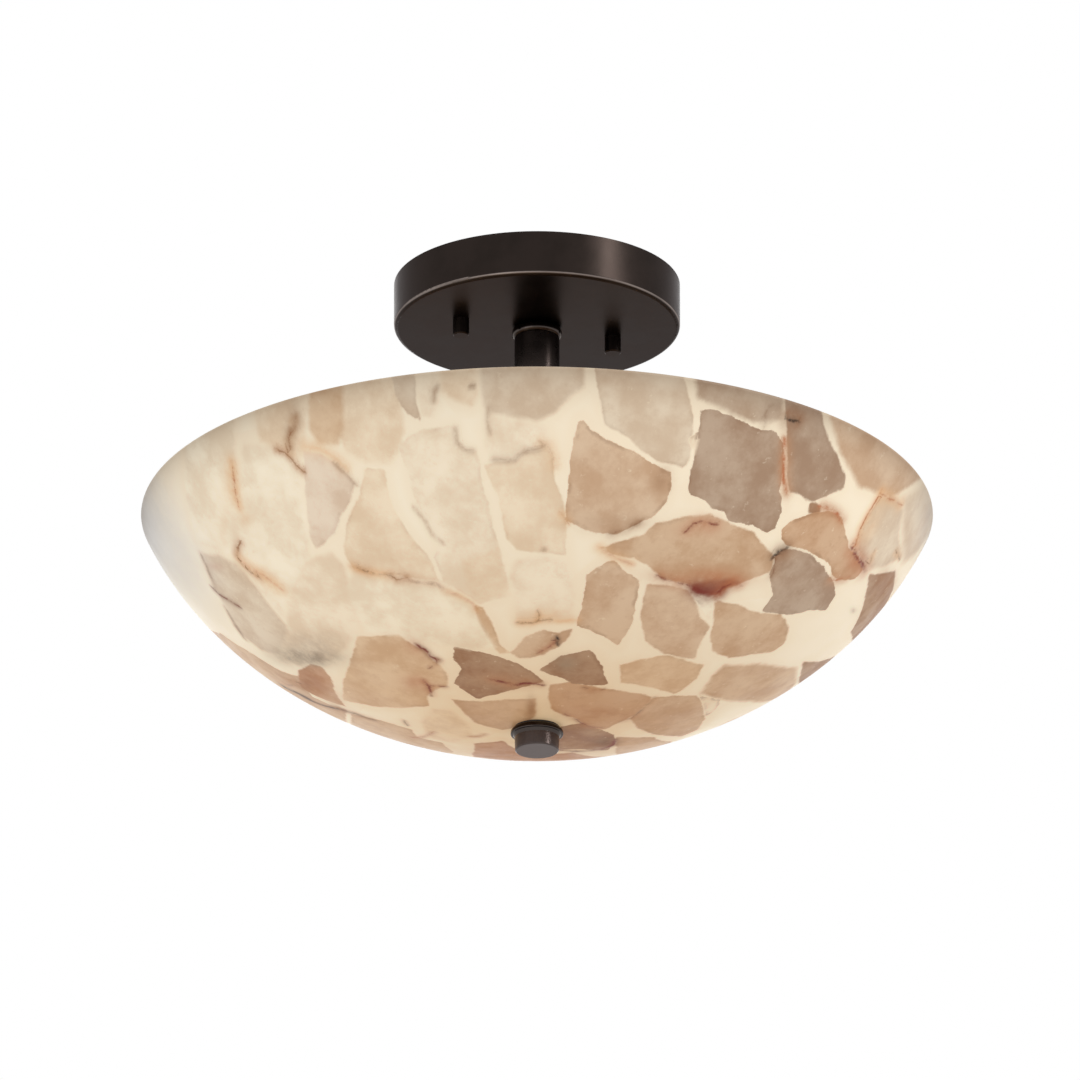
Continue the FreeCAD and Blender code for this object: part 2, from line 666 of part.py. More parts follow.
def bowl_shade():
    """Shade of stone chips in resin, open above, with a rounded rim and the rod's hole at its pole."""
    shell = bowl_solid(0, bowl_rim).cut(bowl_solid(BOWL_WALL, bowl_rim))
    shell = shell.makeFillet(BOWL_RIM_ROUND, rims_at(shell, bowl_rim))
    return shell.cut(cylinder(BOWL_HOLE_RADIUS, bowl_pole, bowl_inner_pole + BOWL_WALL))


def bowl_gasket():
    """Rubber gasket on the bowl's inner face, with a sleeve in its hole."""
    disc = cylinder(GASKET_RADIUS, bowl_inner_pole, gasket_top)
    disc = disc.common(bowl_solid(BOWL_WALL, gasket_top + GASKET_THICKNESS))
    sleeve_radius = BOWL_HOLE_RADIUS - GASKET_SLEEVE_GAP
    sleeve = cylinder(sleeve_radius, bowl_inner_pole - GASKET_SLEEVE_LENGTH, gasket_top)
    bore = cylinder(rod_slip_bore, bowl_inner_pole - GASKET_SLEEVE_LENGTH, gasket_top)
    return disc.fuse(sleeve).cut(bore)


def bowl_washer():
    """Steel washer on the gasket."""
    return tube(SEAT_WASHER_RADIUS, rod_slip_bore, gasket_top, gasket_top + SEAT_WASHER_THICKNESS)


def finial_gasket():
    """Thin gasket between the bowl's underside and the finial's ring."""
    disc = tube(FINIAL_GASKET_RADIUS, rod_slip_bore, ring_top, bowl_inner_pole)
    return disc.cut(bowl_solid(0, bowl_rim))


def finial_ring():
    """Ring under the bowl: a round bead with a narrower cone below it."""
    bead = cylinder(RING_RADIUS, ring_bead_bottom, ring_top)
    bead = bead.makeFillet(RING_TOP_ROUND, rims_at(bead, ring_top))
    bead = bead.makeFillet(RING_LIP_ROUND, rims_at(bead, ring_bead_bottom))
    cone = Part.makeCone(
        KNOB_TOP_RADIUS, RING_RADIUS - RING_STEP - RING_LIP_ROUND, RING_CONE_HEIGHT, V(0, 0, knob_top), UP
    )
    return bead.fuse(cone).cut(cylinder(rod_slip_bore, knob_top, ring_top))


def finial_knob():
    """Knob that screws on the rod's end and holds the bowl up."""
    knob = Part.makeCone(KNOB_RADIUS, KNOB_TOP_RADIUS, KNOB_HEIGHT, V(0, 0, knob_bottom), UP)
    knob = knob.makeChamfer(KNOB_CHAMFER, rims_at(knob, knob_bottom))
    return knob.cut(cylinder(pipe_thread_bore, knob_bottom + KNOB_FLOOR, knob_top))


def pair(make):
    """Left and right copies of one fastener, as one shape of two solids."""
    return Part.makeCompound([make(side) for side in SIDES.values()])


def model():
    """Every node's name with its shape."""
    shapes = {
        "ceiling_bar": ceiling_bar(),
        "stud_bar": stud_bar(),
        "bar_rivet": bar_rivet(),
        "ground_screw": ground_screw(),
        "canopy_studs": pair(canopy_stud),
        "stud_lock_nuts": pair(stud_lock_nut),
        "canopy": canopy(),
        "upper_pipe": upper_pipe(),
        "upper_pipe_washer": upper_pipe_washer(),
        "upper_pipe_nut": upper_pipe_nut(),
        "stem_collar": stem_collar(),
        "stem": stem(),
        "lower_pipe": lower_pipe(),
        "lower_pipe_nut": lower_pipe_nut(),
        "hub_housing": hub_housing(),
        "hub_cap": hub_cap(),
        "hub_cap_screws": pair(hub_cap_screw),
        "arm_pipes": pair(arm_pipe),
        "centre_rod": centre_rod(),
        "rod_nut": rod_nut(),
        "bowl_shade": bowl_shade(),
        "bowl_gasket": bowl_gasket(),
        "bowl_washer": bowl_washer(),
        "finial_gasket": finial_gasket(),
        "finial_ring": finial_ring(),
        "finial_knob": finial_knob(),
    }
    for name, side in SIDES.items():
        shapes["thumb_nut_" + name] = thumb_nut(side)
        shapes["lampholder_" + name] = lampholder(side)
        shapes["screw_shell_" + name] = screw_shell(side)
        shapes["centre_contact_" + name] = centre_contact(side)
        shapes["lamp_glass_" + name] = lamp_glass(side)
        shapes["lamp_base_" + name] = lamp_base(side)
        shapes["lamp_insulator_" + name] = lamp_insulator(side)
        shapes["lamp_tip_" + name] = lamp_tip(side)
        for colour, pole in POLES.items():
            shapes["lead_" + colour + "_" + name] = lead(side, pole)
    for colour, pole in POLES.items():
        shapes["wire_connector_" + colour] = wire_connector(pole)
    return shapes


os.makedirs("parts", exist_ok=True)
for node, shape in model().items():
    shape.exportStep(os.path.join("parts", node + ".step"))
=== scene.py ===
"""Looks of a semi flush ceiling light: a bowl of stone chips cast in resin, under a dark bronze canopy.

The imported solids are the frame. This file replaces the bowl by a finer surface with its stones,
gives every other solid a procedural material, and sets up floor, lamps and camera.
"""

import json
import logging
import math
from dataclasses import dataclass, field
from enum import Enum
from functools import reduce
from typing import Any

import bpy
import numpy as np
from mathutils import Matrix


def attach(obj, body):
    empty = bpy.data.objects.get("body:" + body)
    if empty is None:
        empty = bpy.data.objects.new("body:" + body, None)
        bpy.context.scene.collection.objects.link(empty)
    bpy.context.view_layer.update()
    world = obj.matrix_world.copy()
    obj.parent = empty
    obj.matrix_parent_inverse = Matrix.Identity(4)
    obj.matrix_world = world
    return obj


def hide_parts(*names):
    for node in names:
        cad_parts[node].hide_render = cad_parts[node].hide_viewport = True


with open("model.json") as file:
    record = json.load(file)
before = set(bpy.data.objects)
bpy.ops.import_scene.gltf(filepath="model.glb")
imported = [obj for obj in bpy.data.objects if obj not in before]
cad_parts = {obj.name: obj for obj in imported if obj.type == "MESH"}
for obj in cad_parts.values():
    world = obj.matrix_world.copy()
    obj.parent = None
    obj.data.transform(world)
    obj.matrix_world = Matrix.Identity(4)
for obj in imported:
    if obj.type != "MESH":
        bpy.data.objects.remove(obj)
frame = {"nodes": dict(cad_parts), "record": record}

LOG = logging.getLogger("ceiling_light")
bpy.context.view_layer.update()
IMAGE_SIDE = 1080.0
MM = 0.001
TINY = 1e-12
STONE_LAYERS = 4
DIRECT_KINDS = ("Camera", "Glossy", "Transmission")
Array = np.ndarray
Socket = bpy.types.NodeSocket
Colour = tuple[float, float, float, float]
PixelPairs = tuple[tuple[float, float], ...]


def from_screen(red: float, green: float, blue: float) -> Colour:
    """Turns a colour as seen on a screen, 0 to 255, into the linear colour that shaders use.

    Args:
        red, green, blue: the screen values.

    Returns:
        The linear colour with an alpha of 1.
    """
    shares = [value / 255.0 for value in (red, green, blue)]
    linear = [s / 12.92 if s <= 0.04045 else ((s + 0.055) / 1.055) ** 2.4 for s in shares]
    return (*linear, 1.0)


WHITE = (1.0, 1.0, 1.0, 1.0)
STONE_DEPTH = from_screen(231, 220, 211)


class Tone(Enum):
    """Colours of resin, stones and stains as they look lit from inside, and of the painted shade and sheen.
    """

    RESIN = from_screen(246, 233, 208)
    IVORY = from_screen(243, 227, 201)
    CREAM = from_screen(239, 219, 190)
    BONE = from_screen(229, 209, 186)
    SAND = from_screen(231, 204, 170)
    BLUSH = from_screen(220, 201, 176)
    STRAW = from_screen(220, 189, 154)
    TAN = from_screen(210, 179, 148)
    FAWN = from_screen(205, 171, 137)
    PUTTY = from_screen(193, 170, 146)
    GINGER = from_screen(198, 158, 122)
    TAUPE = from_screen(166, 139, 116)
    MAUVE = from_screen(172, 145, 122)
    CLAY = from_screen(187, 138, 101)
    UMBER = from_screen(161, 122, 91)
    COCOA = from_screen(146, 98, 62)
    SLATE = from_screen(157, 140, 120)
    # The next three tones are painted sheen and shade at the bowl's outline and rim.
    EDGE_SHEEN_PALE = from_screen(208, 204, 200)
    EDGE_SHEEN_GREY = from_screen(192, 190, 188)
    SHADE = from_screen(188, 182, 178)
    # Painted shade round the bottom of the bowl.
    BOTTOM_SHADE = from_screen(226, 200, 168)
    OCHRE = from_screen(222, 176, 128)
    RUST = from_screen(176, 104, 66)
    BLOOD = from_screen(116, 42, 28)
    BARK = from_screen(122, 80, 50)
    COAL = from_screen(34, 24, 18)


class Edge(Enum):
    """How sharply a stone's outline shows, as the half width of its edge in millimetres."""

    CRISP = 0.35
    PLAIN = 0.8
    SOFT = 2.0
    DEEP = 4.5


@dataclass(frozen=True)
class Stone:
    """One stone of the bowl, with its outline in the photograph's pixels."""

    name: str
    tone: Tone
    edge: Edge
    layer: int
    outline: PixelPairs


@dataclass(frozen=True)
class Vein:
    """One thin line in a stone or along its edge, with its points in the photograph's pixels.

    Width and spread are half widths in millimetres, of the line and of the haze of colour round it.
    """

    name: str
    tone: Tone
    width: float
    haze: Tone
    spread: float
    strength: float
    points: PixelPairs


@dataclass(frozen=True)
class Stain:
    """One soft patch of colour: centre and half sizes in the photograph's pixels, and its turn in degrees."""

    name: str
    tone: Tone
    strength: float
    centre: tuple[float, float]
    reach: tuple[float, float]
    turn: float = 0.0


STONES = (
    Stone("far_left_pale", Tone.RESIN, Edge.SOFT, 0, (
        (192, 425), (243, 396), (246, 500), (243, 545), (222, 540), (200, 528), (192, 480))),
    Stone("left_ivory", Tone.RESIN, Edge.SOFT, 1, (
        (250, 432), (283, 436), (304, 462), (310, 500), (313, 545), (300, 580), (284, 606), (262, 580),
        (246, 548), (245, 500), (246, 460))),
    Stone("left_upper", Tone.CREAM, Edge.SOFT, 0, (
        (262, 398), (300, 384), (316, 380), (312, 440), (304, 456), (290, 440), (268, 432))),
    Stone("left_brown_wedge", Tone.SAND, Edge.SOFT, 2, (
        (297, 406), (306, 405), (307, 418), (302, 432), (302, 446), (297, 449), (291, 441), (293, 428),
        (297, 420))),
    Stone("top_left_tan", Tone.STRAW, Edge.SOFT, 1, (
        (318, 378), (352, 370), (352, 420), (345, 438), (325, 436), (316, 420))),
    Stone("left_middle", Tone.BONE, Edge.PLAIN, 2, (
        (311, 442), (330, 447), (345, 459), (361, 476), (356, 492), (346, 508), (341, 525), (332, 533),
        (320, 541), (315, 530), (311, 490))),
    Stone("left_low", Tone.BLUSH, Edge.SOFT, 0, (
        (206, 541), (222, 543), (238, 551), (247, 560), (262, 580), (275, 600), (290, 618), (298, 636),
        (280, 644), (262, 640), (240, 620), (226, 592), (214, 568))),
    Stone("left_slab", Tone.IVORY, Edge.SOFT, 1, (
        (308, 552), (320, 548), (336, 545), (347, 557), (352, 575), (358, 598), (366, 612), (360, 626),
        (347, 640), (332, 652), (300, 656), (284, 652), (280, 640), (288, 622), (290, 590), (296, 566))),
    Stone("low_russet", Tone.CLAY, Edge.PLAIN, 3, (
        (299, 662), (310, 655), (322, 658), (331, 670), (337, 690), (345, 699), (330, 694), (312, 686),
        (300, 677))),
    Stone("low_left_band", Tone.FAWN, Edge.PLAIN, 0, (
        (206, 612), (222, 622), (250, 641), (280, 661), (300, 668), (312, 688), (330, 697), (345, 702),
        (345, 718), (318, 710), (290, 694), (262, 672), (230, 642))),
    Stone("upper_left", Tone.CREAM, Edge.SOFT, 0, (
        (352, 372), (400, 364), (410, 400), (413, 424), (405, 446), (398, 458), (372, 456), (352, 444),
        (345, 420))),
    Stone("upper_dark_wedge", Tone.BLUSH, Edge.PLAIN, 1, (
        (400, 362), (424, 360), (425, 396), (430, 418), (415, 409), (405, 393))),
    Stone("upper_light", Tone.IVORY, Edge.SOFT, 2, (
        (428, 362), (446, 360), (446, 396), (440, 412), (430, 410), (427, 392))),
    Stone("middle_left", Tone.CREAM, Edge.PLAIN, 1, (
        (372, 461), (392, 463), (395, 490), (401, 508), (416, 531), (432, 551), (443, 577), (424, 574),
        (396, 569), (357, 560), (350, 551), (347, 538), (351, 515), (364, 492))),
    Stone("middle_centre", Tone.IVORY, Edge.PLAIN, 2, (
        (405, 440), (416, 430), (430, 424), (461, 422), (465, 436), (474, 447), (484, 448), (487, 462),
        (488, 480), (494, 500), (497, 520), (501, 537), (505, 552), (509, 575), (513, 594), (482, 600),
        (470, 592), (446, 578), (438, 552), (444, 538), (430, 514), (420, 492), (413, 464))),
    Stone("middle_centre_low", Tone.CREAM, Edge.SOFT, 3, (
        (466, 556), (484, 552), (502, 545), (508, 574), (513, 593), (482, 599), (471, 586))),
    Stone("centre_dark_sliver", Tone.STRAW, Edge.PLAIN, 0, (
        (476, 601), (485, 604), (496, 626), (501, 641), (510, 650), (500, 651), (488, 636), (480, 619))),
    Stone("top_centre", Tone.BLUSH, Edge.SOFT, 1, (
        (490, 356), (593, 356), (594, 386), (578, 398), (561, 412), (545, 419), (520, 415), (500, 410),
        (492, 402), (490, 385))),
    Stone("top_small", Tone.CREAM, Edge.SOFT, 3, (
        (448, 360), (486, 358), (488, 392), (480, 402), (462, 396), (450, 388))),
    Stone("centre_upper", Tone.IVORY, Edge.SOFT, 2, (
        (499, 412), (520, 418), (545, 422), (554, 429), (560, 445), (553, 443), (545, 447), (530, 449),
        (524, 457), (502, 457), (493, 445), (492, 426))),
    Stone("centre_right", Tone.CREAM, Edge.PLAIN, 1, (
        (490, 463), (503, 459), (523, 459), (531, 451), (545, 450), (553, 446), (560, 456), (562, 480),
        (569, 500), (571, 522), (569, 555), (552, 552), (535, 551), (520, 547), (511, 537), (508, 520),
        (505, 498), (497, 479))),
    Stone("centre_pale_low", Tone.IVORY, Edge.SOFT, 0, (
        (519, 559), (545, 555), (568, 559), (574, 575), (575, 600), (573, 617), (545, 619), (520, 617),
        (517, 596), (513, 575))),
    Stone("shield", Tone.TAN, Edge.CRISP, 3, (
        (586, 420), (592, 419), (600, 430), (610, 437), (640, 452), (660, 465), (678, 474), (677, 490),
        (670, 508), (655, 520), (640, 526), (622, 534), (608, 535), (590, 531), (580, 525), (570, 520),
        (572, 494), (577, 455))),
    Stone("upper_right", Tone.BLUSH, Edge.PLAIN, 1, (
        (602, 356), (640, 358), (690, 366), (697, 398), (701, 420), (700, 442), (697, 462), (690, 471),
        (662, 463), (646, 450), (634, 438), (612, 425), (609, 404))),
    Stone("top_right_small", Tone.PUTTY, Edge.SOFT, 2, (
        (702, 368), (744, 374), (792, 390), (790, 426), (762, 428), (742, 420), (722, 410), (706, 402))),
    Stone("great_right", Tone.MAUVE, Edge.CRISP, 3, (
        (708, 413), (724, 413), (742, 422), (766, 434), (784, 438), (790, 450), (789, 478), (785, 498),
        (787, 515), (780, 534), (771, 538), (757, 531), (742, 528), (734, 526), (729, 516), (718, 512),
        (708, 504), (696, 498), (693, 492), (697, 474), (703, 448), (707, 428))),
    Stone("mauve_right", Tone.MAUVE, Edge.PLAIN, 1, (
        (793, 396), (803, 398), (826, 404), (832, 434), (838, 452), (846, 468), (852, 484), (849, 497),
        (838, 501), (822, 508), (813, 508), (805, 500), (796, 498), (793, 486))),
    Stone("far_right", Tone.TAN, Edge.SOFT, 2, (
        (832, 406), (862, 418), (894, 434), (922, 456), (936, 480), (908, 500), (896, 506), (880, 500),
        (866, 496), (858, 482), (848, 464))),
    Stone("right_crumb", Tone.UMBER, Edge.PLAIN, 0, (
        (815, 510), (822, 509), (827, 518), (822, 522), (812, 520))),
    Stone("right_middle", Tone.GINGER, Edge.CRISP, 2, (
        (786, 536), (792, 530), (812, 521), (832, 518), (846, 526), (850, 542), (852, 556), (862, 566),
        (866, 578), (858, 587), (842, 588), (835, 582), (832, 570), (812, 558), (790, 552), (785, 545))),
    Stone("right_warm", Tone.BLUSH, Edge.SOFT, 1, (
        (886, 504), (902, 508), (908, 520), (903, 545), (905, 566), (886, 576), (868, 578), (862, 558),
        (863, 540), (872, 524))),
    Stone("far_right_pale", Tone.BLUSH, Edge.DEEP, 0, (
        (908, 508), (930, 498), (936, 520), (932, 545), (918, 566), (906, 572), (906, 540))),
    Stone("rose_slab", Tone.FAWN, Edge.PLAIN, 0, (
        (603, 548), (622, 543), (648, 536), (660, 526), (690, 519), (716, 518), (736, 528), (760, 538),
        (766, 550), (778, 562), (774, 578), (760, 582), (744, 588), (726, 594), (712, 598), (698, 592),
        (688, 586), (665, 582), (652, 568), (638, 560), (618, 556))),
    Stone("red_crescent", Tone.BLOOD, Edge.SOFT, 3, (
        (692, 588), (704, 586), (718, 583), (734, 584), (742, 588), (730, 592), (722, 598), (710, 600),
        (700, 597))),
    Stone("right_dark", Tone.MAUVE, Edge.CRISP, 3, (
        (779, 561), (787, 555), (802, 556), (815, 562), (828, 575), (836, 591), (838, 602), (828, 617),
        (812, 617), (790, 621), (763, 617), (775, 601), (772, 580), (777, 570))),
    Stone("low_centre_grey", Tone.TAN, Edge.CRISP, 2, (
        (590, 575), (608, 563), (618, 561), (630, 573), (643, 581), (640, 600), (633, 625), (620, 646),
        (604, 638), (591, 630), (578, 625), (584, 608), (587, 590))),
    Stone("low_centre_tan", Tone.TAN, Edge.PLAIN, 1, (
        (650, 586), (672, 588), (692, 594), (698, 606), (702, 620), (712, 630), (705, 642), (698, 652),
        (696, 662), (664, 656), (646, 642), (642, 620), (645, 600))),
    Stone("low_right_tan", Tone.FAWN, Edge.PLAIN, 2, (
        (717, 604), (740, 609), (756, 617), (783, 620), (790, 634), (785, 650), (774, 657), (750, 660),
        (730, 662), (713, 655), (711, 640), (715, 622))),
    Stone("right_under", Tone.UMBER, Edge.PLAIN, 0, (
        (872, 583), (898, 580), (894, 602), (878, 626), (854, 650), (852, 640), (862, 622), (868, 602))),
    Stone("right_under_corner", Tone.UMBER, Edge.PLAIN, 1, (
        (803, 668), (836, 663), (820, 678), (800, 691), (798, 686))),
    Stone("low_right_band", Tone.FAWN, Edge.SOFT, 0, (
        (724, 670), (760, 668), (796, 674), (796, 688), (784, 700), (750, 706), (722, 704), (700, 697),
        (712, 680))),
    Stone("low_middle", Tone.STRAW, Edge.PLAIN, 3, (
        (620, 666), (642, 661), (668, 657), (692, 666), (703, 669), (696, 682), (684, 691), (674, 697),
        (654, 690), (640, 687), (620, 684))),
    Stone("low_dark", Tone.UMBER, Edge.CRISP, 3, (
        (537, 669), (560, 655), (590, 650), (596, 656), (602, 668), (609, 686), (588, 685), (572, 683),
        (558, 676))),
    Stone("low_long", Tone.GINGER, Edge.PLAIN, 1, (
        (550, 684), (570, 681), (600, 688), (640, 695), (652, 699), (640, 712), (622, 722), (602, 730),
        (588, 728), (574, 718), (560, 714), (550, 708), (547, 695))),
    Stone("low_right_big", Tone.FAWN, Edge.PLAIN, 2, (
        (652, 700), (674, 698), (696, 699), (701, 706), (704, 722), (695, 733), (680, 739), (656, 737),
        (636, 730), (628, 720), (640, 710))),
    Stone("bottom_brown", Tone.UMBER, Edge.CRISP, 2, (
        (552, 726), (580, 723), (600, 730), (612, 736), (613, 744), (605, 751), (580, 749), (556, 748))),
    Stone("bottom_strip", Tone.CLAY, Edge.PLAIN, 0, (
        (490, 751), (530, 753), (570, 752), (612, 756), (606, 763), (570, 765), (530, 764), (492, 760))),
    Stone("bottom_right", Tone.FAWN, Edge.PLAIN, 1, (
        (614, 738), (650, 739), (668, 744), (674, 750), (645, 756), (613, 758))),
    Stone("small_tan", Tone.TAN, Edge.PLAIN, 2, (
        (529, 633), (545, 629), (560, 632), (574, 628), (566, 641), (556, 648), (545, 653), (532, 656),
        (520, 656), (511, 650), (520, 641))),
    Stone("light_wedge", Tone.CREAM, Edge.CRISP, 3, (
        (695, 441), (705, 436), (704, 448), (700, 458), (697, 450))),
    Stone("light_strip", Tone.RESIN, Edge.CRISP, 3, (
        (694, 598), (706, 598), (716, 600), (714, 614), (712, 626), (704, 614))),
    Stone("light_notch", Tone.CREAM, Edge.CRISP, 3, (
        (698, 698), (720, 704), (716, 712), (704, 722), (702, 710))),
    Stone("low_left_pale", Tone.RESIN, Edge.SOFT, 3, (
        (357, 566), (396, 574), (436, 582), (462, 590), (474, 602), (480, 618), (490, 634), (496, 644),
        (470, 646), (440, 639), (410, 634), (400, 629), (366, 626), (362, 610), (354, 596), (348, 578))),
    Stone("low_left_big", Tone.STRAW, Edge.PLAIN, 0, (
        (358, 629), (400, 628), (406, 634), (418, 641), (427, 647), (434, 656), (441, 662), (447, 671),
        (447, 682), (437, 684), (428, 690), (428, 701), (400, 702), (370, 699), (342, 692), (343, 672),
        (351, 652))),
    Stone("low_brown", Tone.UMBER, Edge.CRISP, 2, (
        (455, 642), (478, 648), (500, 654), (520, 662), (534, 671), (546, 681), (522, 685), (500, 690),
        (476, 695), (468, 690), (454, 679), (462, 665), (454, 656))),
    Stone("finial_left", Tone.TAN, Edge.PLAIN, 1, (
        (451, 695), (476, 698), (504, 697), (535, 697), (534, 714), (520, 724), (500, 727), (474, 720),
        (462, 708))),
    Stone("low_tan_left", Tone.CREAM, Edge.SOFT, 3, (
        (432, 704), (450, 706), (466, 720), (470, 732), (452, 738), (428, 734), (420, 716))),
    Stone("bottom_left", Tone.TAN, Edge.PLAIN, 2, (
        (350, 706), (380, 714), (410, 724), (416, 732), (440, 738), (452, 748), (430, 748), (398, 740),
        (366, 728), (348, 719))),
    Stone("bottom_centre", Tone.CLAY, Edge.PLAIN, 0, (
        (472, 740), (500, 738), (512, 746), (540, 752), (534, 757), (500, 757), (470, 753))),
)

